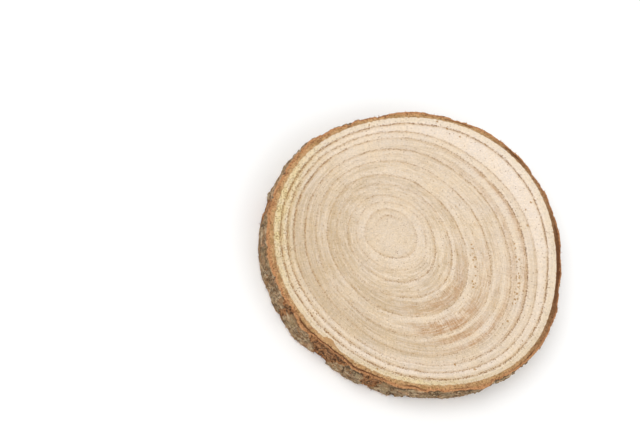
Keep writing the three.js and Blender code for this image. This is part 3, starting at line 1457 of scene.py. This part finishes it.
    def unwrap(self, mesh: Mesh, face_size: int) -> None:
        """Lays both faces flat beside each other on a map, the upper one larger, and the wall in a strip."""
        points = np.array([v.co for v in mesh.vertices])
        low, high = points[:, :2].min(axis=0), points[:, :2].max(axis=0)
        centred = (points[:, :2] - (low + high) / 2) / (high - low).max()
        corner = np.array([loop.vertex_index for loop in mesh.loops])
        (upper, upper_size), (under, under_size) = self.MAP_UPPER, self.MAP_UNDER
        laid_upper, laid_under = upper + centred[corner] * upper_size, under + centred[corner] * under_size
        places = np.where((corner < face_size)[:, None], laid_upper, laid_under)
        start = mesh.polygons[len(mesh.polygons) - self.columns].loop_start
        left, length, foot, top = self.MAP_WALL
        step = np.arange(self.columns) / self.columns
        beside = step + 1 / self.columns
        across = np.stack([step, step, beside, beside], axis=1) * length + left
        up = np.tile([top, foot, foot, top], (self.columns, 1))
        places[start:] = np.stack([across, up], axis=2).reshape(-1, 2)
        layer = mesh.uv_layers.new(name="OFBake")
        layer.data.foreach_set("uv", places.astype(np.float32).ravel())

    def build(self) -> Piece:
        """Builds the wood as one closed piece.

        Returns:
            The dressed piece.
        """
        spots, traits = self.rows()
        upper = self.lay_face(Face.UPPER, spots, traits)
        under = self.lay_face(Face.UNDER, spots, traits)
        spread = {}
        for trait, values in traits.items():
            one_face = np.append(values.ravel(), values[0].mean())
            spread[trait] = np.concatenate([one_face, one_face])
        spread[Trait.AGE][[len(upper) - 1, -1]] = 0.0
        mesh = make_mesh("sawn_wood", np.concatenate([upper, under]), self.faces(len(spots)), spread)
        self.unwrap(mesh, len(upper))
        piece = place(mesh, SawnWoodFinish().build())
        log.info("sawn_wood: %d years, %d faces", self.growth.years, len(mesh.polygons))
        return piece


# ------------ The bark


@dataclass(frozen=True)
class Chip:
    """A place where the outer bark is knocked away.

    Attributes:
        at: Its bearing in degrees.
        top_deg: Its half width at the upper face, in degrees.
        foot_deg: Its half width at the underside, in degrees.
        depth_mm: How much bark is gone.
    """

    at: float
    top_deg: float
    foot_deg: float
    depth_mm: float


@dataclass
class Bark:
    """The ring of bark round the wood.

    Attributes:
        outline: The slice's outline.
        columns: How many columns of points go round; three for each of the wood's.
        wall_rows: How many rows of points go up the outside.
        face_rows: How many rows of points cross each sawn face.
        chips: The large knocked places.
        strips: How many strips the map is cut into.
    """

    outline: Outline
    columns: int = 1200
    wall_rows: int = 40
    face_rows: int = 12
    chips: tuple[Chip, ...] = (
        Chip(-135, 10, 3.5, 0.7),
        Chip(-114, 5, 2.5, 0.5),
        Chip(-157, 3, 0.5, 0.45),
        Chip(28, 5, 8, 0.6),
        Chip(104, 7, 2, 0.7),
        Chip(163, 2, 6, 0.6),
    )
    strips: int = 4

    # The weathered outside, in millimetres, but for the chips' edges, which waver by some degrees.
    PLATES = Plates(32, 34, 11.0)
    CHIP_EDGES = Lumps(21, 3.0, 3, height=2.2)
    FLAKES, FLAKED_FROM, FLAKED, FLAKE_DEPTH_MM = Lumps(22, (6.0, 6.0, 8.0), 3), (0.62, 0.74), 0.6, 0.3
    SWERVE, SWERVE_ROUND, SWERVE_UP_MM = Lumps(31, 5.0, 2), 0.05, 1.5
    CRACKED, CRACKED_FROM = Lumps(33, 15.0), (-0.35, 0.45)
    CRACK_MM, CRACK_WIDTH = 0.6, (0.2, 0.02)
    BROAD = Lumps(34, (7.0, 7.0, 10.0), 2, height=0.26)
    MIDDLING = Lumps(35, (1.6, 1.6, 3.2), 3, height=0.16)
    FINE = Lumps(36, 0.75, 2, height=0.1)
    FIBRES = Lumps(37, (0.9, 0.9, 5.0), 3, height=0.14)
    TEARS, TEAR_WIDTH, TEAR_MM = Lumps(38, (3.6, 3.6, 5.0), 3), (0.12, 0.0), 0.5
    SMOOTH_AT, SMOOTH_SPREAD, SMOOTHED = 25.0, 70.0, 0.5
    RELIEF_MM = (-1.5, 0.45)
    LEAN = 1.3  # how a chip's half width changes up the trunk

    # Where the traits of the outside show, mostly by the distance from the sawn faces.
    RELIEF_SHOWN, LIP_MM, BARE_LIP_LOSS = (-0.9, 0.5), (0.75, 0.3), 0.8
    SCALES_MM, LENTICELS_MM, TORN_MM = (0.6, 1.2), (1.5, 2.5), (0.9, 0.3)
    TORN_BARE, TORN_BARE_MM = 0.25, (0.4, 1.0)

    # The sawn edges, which are broken back, and the faces, which are rough and split.
    BREAK_SEEDS = {Face.UPPER: 41, Face.UNDER: 51}
    BREAK_DOWN_MM = {Face.UPPER: (0.05, 0.45), Face.UNDER: (0.05, 0.3)}
    BREAK_IN_MM, BREAK_FROM, BREAK_MEAN = (0.1, 0.4), (1.3, 0.1), 0.25
    ROUGH = Lumps(61, 0.8, 2)
    SPLIT_AT, SPLIT_WAVER, SPLIT_WIDTH = 0.56, Lumps(62, 4.0, height=0.2), (0.14, 0.02)
    SPLITS, SPLITS_FROM = Lumps(63, 9.0), (0.15, 0.5)
    SPLIT_MOST, SPLIT_LEAST = (0.9, -140.0, 18.0), (0.6, 136.0, 26.0)
    SINK_MM, ROUGH_MM, SPLIT_MM, ROUGH_FROM, FALL_FROM = 0.02, 0.2, 0.4, (0.0, 0.2), (0.72, 1.0)
    LIP_FROM, TORN_FROM = (0.66, 0.94), (0.85, 1.0)
    DARK_SIDES = ((1.0, -8.0, 34.0), (0.5, 40.0, 8.0))
    TORN_SIDE, TORN_SIDE_FROM = (0.6, -130.0, 17.0), (0.4, 0.75)

    # The map: a strip's side margin, its foot, top and end, and the height of a sawn face on it.
    MAP_MARGIN, MAP_CLIMB, MAP_FACE = 0.012, (0.03, 0.97, 0.99), 0.16

    def spots(self, bearing: Array, height: Array) -> Array:
        """Points on a plain cylinder of the slice's size, in millimetres, for reading noise round it."""
        radius = np.full_like(bearing, float(self.outline.trunk.mean()) / MM)
        return ring_points(radius, bearing, height / MM)

    def bare(self, bearing: Array, height: Array) -> tuple[Array, Array]:
        """Where the outer bark is gone.

        Args:
            bearing: Bearings in radians.
            height: Heights in metres.

        Returns:
            A mask from 0 to 1, and how deep the hollow is in millimetres.
        """
        spots = self.spots(bearing, height)
        ragged = self.CHIP_EDGES.read(spots)
        up = (height - self.outline.low) / (self.outline.high - self.outline.low)
        mask, depth = np.zeros_like(bearing), np.zeros_like(bearing)
        for chip in self.chips:
            centre = math.radians(chip.at)
            away = np.abs(np.degrees(np.arctan2(np.sin(bearing - centre), np.cos(bearing - centre))))
            half = chip.foot_deg + (chip.top_deg - chip.foot_deg) * up**self.LEAN
            inside = smooth(0.9, -0.9, away - half + ragged)
            mask = np.maximum(mask, inside)
            depth = np.maximum(depth, inside * chip.depth_mm)
        flaked = smooth(*self.FLAKED_FROM, self.FLAKES.read(spots))
        return np.maximum(mask, self.FLAKED * flaked), np.maximum(depth, self.FLAKE_DEPTH_MM * flaked)

    def relief(self, bearing: Array, height: Array) -> tuple[Array, Array]:
        """The shape of the weathered outside.

        Args:
            bearing: Bearings in radians.
            height: Heights in metres.

        Returns:
            How far the bark stands out from the solid's rim in millimetres, and the bare mask.
        """
        spots = self.spots(bearing, height)
        swerve = self.SWERVE.read(spots)
        swerved = bearing + self.SWERVE_ROUND * swerve, height / MM + self.SWERVE_UP_MM * swerve
        crack = smooth(*self.CRACK_WIDTH, self.PLATES.crack(*swerved))
        bare, hollow = self.bare(bearing, height)
        outer = self.BROAD.read(spots)
        outer -= self.CRACK_MM * crack * smooth(*self.CRACKED_FROM, self.CRACKED.read(spots))
        outer += self.MIDDLING.read(spots) + self.FINE.read(spots)
        tears = smooth(*self.TEAR_WIDTH, np.abs(self.TEARS.read(spots)))
        stripped = self.FIBRES.read(spots) - self.TEAR_MM * tears - hollow
        return outer * (1 - bare) + stripped * bare, bare

    def crumble(self, bearing: Array, face: Face) -> Array:
        """How far one sawn edge is broken back at each bearing, from 0 to 1."""
        seed = self.BREAK_SEEDS[face]
        spots = self.spots(bearing, np.full_like(bearing, seed * MM))
        coarse, fine = Lumps(seed, 4.0, 3, height=0.55), Lumps(seed + 1, 0.9, height=0.25)
        return np.clip(self.BREAK_MEAN + coarse.read(spots) + fine.read(spots), 0.0, 1.0)

    def outside(self, bearing: Array) -> tuple[Array, Array, dict[Trait, Array]]:
        """The outer wall.

        Args:
            bearing: The bearing of each column.

        Returns:
            For each column and row, the distance from the axis, the height, and the traits.
        """
        broken, ends, edges = {}, {}, {}
        for face in Face:
            outward, level = self.outline.way(face)
            broken[face] = self.crumble(bearing, face)
            least, more = self.BREAK_DOWN_MM[face]
            ends[face] = level - outward * (least + more * broken[face]) * MM
        step = np.linspace(0, 1, self.wall_rows)[:, None]
        height = ends[Face.UNDER][None] * (1 - step) + ends[Face.UPPER][None] * step
        wide = np.broadcast_to(bearing, height.shape)
        relief, bare = self.relief(wide, height)
        least, more = self.BREAK_IN_MM
        for face in Face:
            outward, level = self.outline.way(face)
            edges[face] = outward * (level - height) / MM
            relief = relief - (least + more * broken[face][None]) * smooth(*self.BREAK_FROM, edges[face])
        relief = relief * (1 - self.SMOOTHED * bump(wide, self.SMOOTH_AT, self.SMOOTH_SPREAD))
        distance = self.outline.rim(wide, height) + np.clip(relief, *self.RELIEF_MM) * MM
        edge = np.minimum(edges[Face.UPPER], edges[Face.UNDER])
        torn_bare = self.TORN_BARE * bare * smooth(*self.TORN_BARE_MM, edge)
        traits = {
            Trait.RELIEF: smooth(*self.RELIEF_SHOWN, relief),
            Trait.BARE: bare,
            Trait.LIP: smooth(*self.LIP_MM, edge) * (1 - self.BARE_LIP_LOSS * bare),
            Trait.SCALY: (1 - bare) * smooth(*self.SCALES_MM, edge),
            Trait.DOTTED: (1 - bare) * smooth(*self.LENTICELS_MM, edge),
            Trait.TORN: np.clip(smooth(*self.TORN_MM, edge) + torn_bare, 0, 1),
        }
        return distance, height, traits

    def crossing(
        self, face: Face, bearing: Array, edge_distance: Array, edge_height: Array
    ) -> tuple[Array, Array, Array]:
        """One sawn face of the bark.

        Args:
            face: Which face.
            bearing: The bearing of each column.
            edge_distance: The outer wall's distance from the axis, where it meets this face.
            edge_height: Its height there.

        Returns:
            The distance from the axis, the height and where the bark is split, for each column and
            row from the wood outwards.
        """
        outward, level = self.outline.way(face)
        wood = self.wood_edge(bearing)
        depth = np.linspace(0, 1, self.face_rows)[:, None]
        distance = wood[None] * (1 - depth) + edge_distance[None] * depth
        wide = np.broadcast_to(bearing, distance.shape)
        spots = ring_points(distance, wide, level) / MM
        rough = 0.5 + 0.5 * self.ROUGH.read(spots)
        split_at = self.SPLIT_AT + self.SPLIT_WAVER.read(spots)
        (most, most_at, most_spread), (least, least_at, least_spread) = self.SPLIT_MOST, self.SPLIT_LEAST
        here = self.SPLITS.read(spots) + most * bump(wide, most_at, most_spread)
        here = here - least * bump(wide, least_at, least_spread)
        split = smooth(*self.SPLIT_WIDTH, np.abs(depth - split_at)) * smooth(*self.SPLITS_FROM, here)
        sink = self.SINK_MM + self.ROUGH_MM * rough * smooth(*self.ROUGH_FROM, depth) + self.SPLIT_MM * split
        fall = smooth(*self.FALL_FROM, depth)
        height = (level - outward * sink * MM) * (1 - fall) + edge_height[None] * fall
        return distance, height, split

    def wood_edge(self, bearing: Array) -> Array:
        """The wood's edge as its straight-sided mesh has it, so that no gap shows between the two."""
        per_column = 3
        corners = bearing[::per_column]
        distance = self.outline.wood(corners)
        points = ring_points(distance, corners, 0.0)[:, :2]
        following = np.roll(points, -1, axis=0)
        between = [points + (following - points) * step / per_column for step in range(per_column)]
        edge = np.stack(between, axis=1).reshape(-1, 2)
        return np.hypot(edge[:, 0], edge[:, 1])

    def loop(self) -> tuple[Array, dict[Trait, Array]]:
        """The ring's points, as one closed loop of rows, and their traits.

        The loop starts at the wood on the underside, crosses it outwards, climbs the outer wall and
        crosses the upper face back to the wood.

        Returns:
            The points, by row and column, and the traits.
        """
        bearing = np.arange(self.columns) / self.columns * TURN
        wall, wall_height, traits = self.outside(bearing)
        under, under_height, under_split = self.crossing(Face.UNDER, bearing, wall[0], wall_height[0])
        upper, upper_height, upper_split = self.crossing(Face.UPPER, bearing, wall[-1], wall_height[-1])
        distance = np.concatenate([under[:-1], wall, upper[-2::-1]])
        height = np.concatenate([under_height[:-1], wall_height, upper_height[-2::-1]])
        rows = self.face_rows - 1
        spread = {}
        for trait, values in traits.items():
            ends = values[:1], values[-1:]
            if trait in (Trait.SCALY, Trait.DOTTED):
                ends = np.zeros_like(ends[0]), np.zeros_like(ends[1])
            below, above = (np.repeat(end, rows, axis=0) for end in ends)
            spread[trait] = np.concatenate([below, values, above])
        depth = np.linspace(0, 1, self.face_rows)[:-1, None] * np.ones(self.columns)

        def mirrored(crossing: Array) -> Array:
            """Both sawn faces alike, and 1 on the wall between them."""
            return np.concatenate([crossing, np.ones_like(wall), crossing[::-1]])

        spread[Trait.DEPTH] = mirrored(depth)
        spread[Trait.LIP] *= mirrored(smooth(*self.LIP_FROM, depth))
        spread[Trait.TORN] *= mirrored(smooth(*self.TORN_FROM, depth))
        spread[Trait.RIM] = mirrored(0 * depth)
        spread[Trait.RIM][[rows, rows + self.wall_rows - 1]] = 0.5
        dark = sum(share * bump(bearing, at, wide) for share, at, wide in self.DARK_SIDES)
        split = np.concatenate([under_split[:-1], np.zeros_like(wall), upper_split[-2::-1]])
        share, at, wide = self.TORN_SIDE
        torn = share * bump(bearing, at, wide) * smooth(*self.TORN_SIDE_FROM, spread[Trait.DEPTH])
        spread[Trait.TONE] = np.clip(dark[None] + split + torn, 0, 1)
        return ring_points(distance, np.broadcast_to(bearing, distance.shape), height), spread

    def unwrap(self, mesh: Mesh, rows: int) -> None:
        """Rolls the ring out flat on a map, cut into strips that lie above each other.

        Args:
            mesh: The ring's mesh, whose faces run row by row.
            rows: How many rows of faces it has.
        """
        row, column = np.divmod(np.arange(rows * self.columns), self.columns)
        per_strip = self.columns // self.strips
        strip, along = np.divmod(column, per_strip)
        margin, (foot, top, end) = self.MAP_MARGIN, self.MAP_CLIMB
        under, upper = foot + self.MAP_FACE, top - self.MAP_FACE
        climbs = np.concatenate(
            [
                np.linspace(foot, under, self.face_rows),
                np.linspace(under, upper, self.wall_rows)[1:],
                np.linspace(upper, top, self.face_rows)[1:],
                [end],
            ]
        )
        left = margin + along / per_strip * (1 - 2 * margin)
        right = margin + (along + 1) / per_strip * (1 - 2 * margin)
        bottom, top = (strip + climbs[row]) / self.strips, (strip + climbs[row + 1]) / self.strips
        places = np.stack([left, bottom, right, bottom, right, top, left, top], axis=1)
        layer = mesh.uv_layers.new(name="OFBake")
        layer.data.foreach_set("uv", places.astype(np.float32).ravel())

    def build(self) -> Piece:
        """Builds the bark as one closed ring.

        Returns:
            The dressed piece.
        """
        points, traits = self.loop()
        rows = len(points)
        start = np.arange(rows * self.columns)
        row, column = np.divmod(start, self.columns)
        beside = row * self.columns + (column + 1) % self.columns
        above = ((row + 1) % rows) * self.columns + column
        across = ((row + 1) % rows) * self.columns + (column + 1) % self.columns
        faces = np.stack([start, beside, across, above], axis=1)
        mesh = make_mesh("bark", points.reshape(-1, 3), faces, traits)
        self.unwrap(mesh, rows)
        piece = place(mesh, BarkFinish().build())
        log.info("bark: %d faces", len(mesh.polygons))
        return piece


# ------------ Small bits scattered by geometry nodes


class Bit(Enum):
    """The shape of one scattered bit."""

    SCALE = "scale"  # a thin many-sided flake
    LENTICEL = "lenticel"  # a low oval bead
    FIBRE = "fibre"  # a thin pointed sliver


@dataclass
class Scatter:
    """Bits scattered over the bark where one of its traits allows them.

    Attributes:
        name: The piece's name.
        bit: The shape of a bit.
        where: The trait that says where bits sit.
        finish: Their finish.
        per_cm2: How many sit on a square centimetre where the trait is 1.
        size_mm: The least and the most length of a bit.
        width: A bit's width as a share of its length.
        thickness: A bit's thickness as a share of its length.
        tilt_deg: How far a bit may tilt out of the surface.
        seed: Fixes the scatter.
    """

    LEAN_SEEDS, SPIN_SEED = (3, 4), 5
    LENTICEL_TURN = 0.35  # lenticels lie round the trunk, give or take this much, in radians
    KNOCK, KNOCK_SCALE = 0.45, 900.0  # how far bits are knocked out of shape, as a share, and how finely

    name: str
    bit: Bit
    where: Trait
    finish: BitFinish
    per_cm2: float
    size_mm: Range
    width: float
    thickness: float
    tilt_deg: float
    seed: int

    def inputs(self) -> dict[str, tuple[str, object]]:
        """The tree's named inputs: for each, its kind of socket and its value."""
        return {
            "Bits per square metre": ("NodeSocketFloat", self.per_cm2 * 1e4),
            "Shortest": ("NodeSocketFloat", self.size_mm[0] * MM),
            "Longest": ("NodeSocketFloat", self.size_mm[1] * MM),
            "Width share": ("NodeSocketFloat", self.width),
            "Thickness share": ("NodeSocketFloat", self.thickness),
            "Tilt": ("NodeSocketFloat", math.radians(self.tilt_deg)),
            "Seed": ("NodeSocketInt", self.seed),
            "Finish": ("NodeSocketMaterial", self.finish.build()),
        }

    def shape(self, bench: NodeBench) -> Socket:
        """Adds the node that makes one bit, one unit long and wide."""
        if self.bit is Bit.LENTICEL:
            sizes = {"Segments": 8, "Rings": 5, "Radius": 0.5}
            return bench.node("GeometryNodeMeshUVSphere", sizes).outputs["Mesh"]
        sides, top = (7, 0.38) if self.bit is Bit.SCALE else (5, 0.06)
        sizes = {"Vertices": sides, "Radius Bottom": 0.5, "Radius Top": top, "Depth": 1.0}
        return bench.node("GeometryNodeMeshCone", sizes).outputs["Mesh"]

    def tree(self) -> tuple[bpy.types.NodeTree, dict[str, str]]:
        """Builds the tree.

        Returns:
            The tree, and the identifier of each named input.
        """
        tree = bpy.data.node_groups.new(self.name, "GeometryNodeTree")
        tree.interface.new_socket("Bark", in_out="INPUT", socket_type="NodeSocketGeometry")
        tree.interface.new_socket("Bits", in_out="OUTPUT", socket_type="NodeSocketGeometry")
        names = {}
        for name, (kind, _) in self.inputs().items():
            names[name] = tree.interface.new_socket(name, in_out="INPUT", socket_type=kind).identifier
        bench = NodeBench(tree)
        given = bench.node("NodeGroupInput", {}).outputs

        def drawn(least: object, most: object, seed: object) -> Socket:
            """A random number for each bit."""
            inputs = {2: least, 3: most, "Seed": seed}
            return bench.node("FunctionNodeRandomValue", inputs, data_type="FLOAT").outputs[1]

        # Where the bits sit, and how large each is.
        name = {"Name": self.where.value}
        room = bench.node("GeometryNodeInputNamedAttribute", name, data_type="FLOAT")
        crowd = bench.times(given["Bits per square metre"], room.outputs["Attribute"])
        inputs = {"Mesh": given["Bark"], "Density": crowd, "Seed": given["Seed"]}
        points = bench.node("GeometryNodeDistributePointsOnFaces", inputs)
        length = drawn(given["Shortest"], given["Longest"], given["Seed"])
        wide = bench.times(length, given["Width share"])
        thick = bench.times(length, given["Thickness share"])
        upright = self.bit is Bit.FIBRE
        size = bench.join(wide, thick, length) if upright else bench.join(wide, length, thick)

        # How each is turned.
        back = bench.times(given["Tilt"], -1.0)
        leans = [drawn(back, given["Tilt"], seed) for seed in self.LEAN_SEEDS]
        half_turn = self.LENTICEL_TURN if self.bit is Bit.LENTICEL else math.pi
        angles = bench.join(*leans, drawn(-half_turn, half_turn, self.SPIN_SEED))
        turned = bench.node("FunctionNodeEulerToRotation", {0: angles}).outputs[0]
        inputs = {"Rotation": points.outputs["Rotation"], "Rotate By": turned}
        rotation = bench.node("FunctionNodeRotateRotation", inputs, rotation_space="LOCAL").outputs[0]
        inputs = {"Points": points.outputs["Points"], "Instance": self.shape(bench)}
        inputs |= {"Rotation": rotation, "Scale": size}
        bits = bench.node("GeometryNodeInstanceOnPoints", inputs).outputs[0]

        # Real bits, each knocked a little out of shape, and their finish.
        solid = bench.node("GeometryNodeRealizeInstances", {"Geometry": bits}).outputs[0]
        spot = bench.node("GeometryNodeInputPosition", {}).outputs[0]
        inputs = {"Vector": spot, "Scale": self.KNOCK_SCALE, "Detail": 1.0}
        noise = bench.node("ShaderNodeTexNoise", inputs, noise_dimensions="3D").outputs["Color"]
        centred = bench.vector("SUBTRACT", noise, (0.5, 0.5, 0.5))
        shift = bench.stretch(centred, bench.times(given["Shortest"], self.KNOCK))
        uneven = bench.node("GeometryNodeSetPosition", {"Geometry": solid, "Offset": shift}).outputs[0]
        inputs = {"Geometry": uneven, "Material": given["Finish"]}
        dressed = bench.node("GeometryNodeSetMaterial", inputs).outputs[0]
        bench.node("NodeGroupOutput", {"Bits": dressed})
        return tree, names

    def build(self, bark: Piece) -> Piece:
        """Scatters the bits and turns them into a plain mesh.

        Args:
            bark: The finished bark.

        Returns:
            The piece.
        """
        emitter = place(bark.data.copy())
        modifier = emitter.modifiers.new(self.name, "NODES")
        tree, names = self.tree()
        modifier.node_group = tree
        for name, (_, value) in self.inputs().items():
            modifier[names[name]] = value
        graph = bpy.context.evaluated_depsgraph_get()
        mesh = bpy.data.meshes.new_from_object(emitter.evaluated_get(graph))
        emitter.modifiers.clear()
        bpy.data.objects.remove(emitter)
        mesh.name = self.name
        for layer in list(mesh.uv_layers):
            mesh.uv_layers.remove(layer)
        piece = place(mesh)
        log.info("%s: %d faces", self.name, len(mesh.polygons))
        return piece


# ------------ The studio


@dataclass(frozen=True)
class Viewpoint:
    """Where the slice is looked at from, told by how it looks in the picture.

    Attributes:
        lens_mm: The lens.
        sensor_mm: The sensor's width.
        reach: From the lens to the aim point, in metres.
        tilt: How far the slice's axis leans away from the line of sight, in degrees.
        lean: Which way the axis points in the picture, in degrees anticlockwise from the right.
        right: How far right of the picture's middle the aim point is, in picture widths.
        down: How far below the picture's middle it is, in picture widths.
        aim_mm: The aim point, from the middle of the slice's upper face.
    """

    lens_mm: float = 85.0
    sensor_mm: float = 36.0
    reach: float = 0.4707
    tilt: float = 25.0
    lean: float = 36.9
    right: float = 0.1484
    down: float = 0.0602
    aim_mm: Range = (-1.25, -1.11)

    def build(self, outline: Outline) -> Piece:
        """Makes the camera and gives it to the scene."""
        data = bpy.data.cameras.new("camera")
        data.lens, data.sensor_width = self.lens_mm, self.sensor_mm
        data.clip_start = 0.01
        camera = bpy.data.objects.new("camera", data)
        bpy.context.scene.collection.objects.link(camera)
        picture = self.sensor_mm / self.lens_mm
        sight = Vector((self.right * picture, -self.down * picture, -1.0)).normalized()
        back = -sight
        side = (Vector((1.0, 0.0, 0.0)) - back * back.x).normalized()
        rise = back.cross(side)
        tilt, lean = math.radians(self.tilt), math.radians(self.lean)
        axis = math.sin(tilt) * (math.cos(lean) * side + math.sin(lean) * rise) + math.cos(tilt) * back
        north = (rise - axis * rise.dot(axis)).normalized()
        turn = Matrix((north.cross(axis), north, axis))
        aim = Vector((self.aim_mm[0] * MM, self.aim_mm[1] * MM, outline.high))
        camera.matrix_world = Matrix.Translation(aim - turn @ (sight * self.reach)) @ turn.to_4x4()
        bpy.context.scene.camera = camera
        return camera


@dataclass(frozen=True)
class Lamp:
    """One soft square lamp, aimed at the slice."""

    name: str
    place: Triple
    size: float
    power: float

    def build(self) -> Piece:
        """Makes the lamp."""
        data = bpy.data.lights.new(self.name, "AREA")
        data.size, data.energy = self.size, self.power
        lamp = bpy.data.objects.new(self.name, data)
        lamp.location = self.place
        lamp.rotation_mode = "QUATERNION"
        lamp.rotation_quaternion = (-Vector(self.place)).to_track_quat("-Z", "Y")
        bpy.context.scene.collection.objects.link(lamp)
        return lamp


@dataclass(frozen=True)
class Studio:
    """A plain pale floor under soft light."""

    floor_colour: Colour = (0.955, 0.955, 0.95)
    floor_half: float = 4.0
    floor_shine: float = 0.2
    floor_roughness: float = 0.8
    sky: float = 0.74
    lamps: tuple[Lamp, ...] = (
        Lamp("key", (-0.45, 0.2, 1.0), 0.8, 5.4),
        Lamp("fill", (0.6, -0.6, 0.8), 0.9, 2.4),
    )

    def floor(self, level: float) -> Piece:
        """Lays the floor."""
        corners = [(x, y, level) for x, y in ((-1, -1), (1, -1), (1, 1), (-1, 1))]
        corners = np.array(corners) * (self.floor_half, self.floor_half, 1.0)
        mesh = make_mesh("floor", corners, np.array([[0, 1, 2, 3]]), {})
        bench = Bench("floor", self.floor_shine)
        bench.feed(bench.shader.inputs["Base Color"], self.floor_colour)
        bench.feed(bench.shader.inputs["Roughness"], self.floor_roughness)
        return place(mesh, bench.material)

    def build(self, outline: Outline) -> None:
        """Sets out the floor, the lamps and the sky."""
        self.floor(outline.low - 0.00005)
        for lamp in self.lamps:
            lamp.build()
        world = bpy.data.worlds.new("soft sky")
        world.use_nodes = True
        world.node_tree.nodes["Background"].inputs["Color"].default_value = (1.0, 1.0, 1.0, 1.0)
        world.node_tree.nodes["Background"].inputs["Strength"].default_value = self.sky
        bpy.context.scene.world = world
        bpy.context.scene.view_settings.view_transform = "Standard"


# ------------ The whole slice

SCATTERS = (
    Scatter(
        name="bark_scales",
        bit=Bit.SCALE,
        where=Trait.SCALY,
        finish=BitFinish("bark_scale", paint(186, 160, 126), paint(112, 86, 60)),
        per_cm2=26.0,
        size_mm=(0.5, 1.7),
        width=0.6,
        thickness=0.16,
        tilt_deg=9.0,
        seed=7,
    ),
    Scatter(
        name="bark_lenticels",
        bit=Bit.LENTICEL,
        where=Trait.DOTTED,
        finish=BitFinish("lenticel", paint(200, 150, 106), paint(146, 98, 62)),
        per_cm2=2.6,
        size_mm=(0.7, 1.4),
        width=0.5,
        thickness=0.35,
        tilt_deg=4.0,
        seed=8,
    ),
    Scatter(
        name="torn_fibres",
        bit=Bit.FIBRE,
        where=Trait.TORN,
        finish=BitFinish("torn_fibre", paint(226, 178, 138), paint(166, 116, 78)),
        per_cm2=110.0,
        size_mm=(0.3, 0.75),
        width=0.34,
        thickness=0.2,
        tilt_deg=65.0,
        seed=9,
    ),
)


def attach(piece: Piece) -> None:
    """Fixes a finished piece to the slice's body, in place of the frame's solid."""
    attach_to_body(piece, BODY)
    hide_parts(NODE)


def main() -> None:
    """Builds the camera, the slice and the studio, in that order."""
    logging.basicConfig(level=logging.INFO, format="%(name)s: %(message)s")
    outline = Outline(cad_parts[NODE])
    Viewpoint().build(outline)
    attach(SawnWood(outline).build())
    bark = Bark(outline).build()
    attach(bark)
    for scatter in SCATTERS:
        attach(scatter.build(bark))
    Studio().build(outline)


if __name__ == "__main__":
    main()
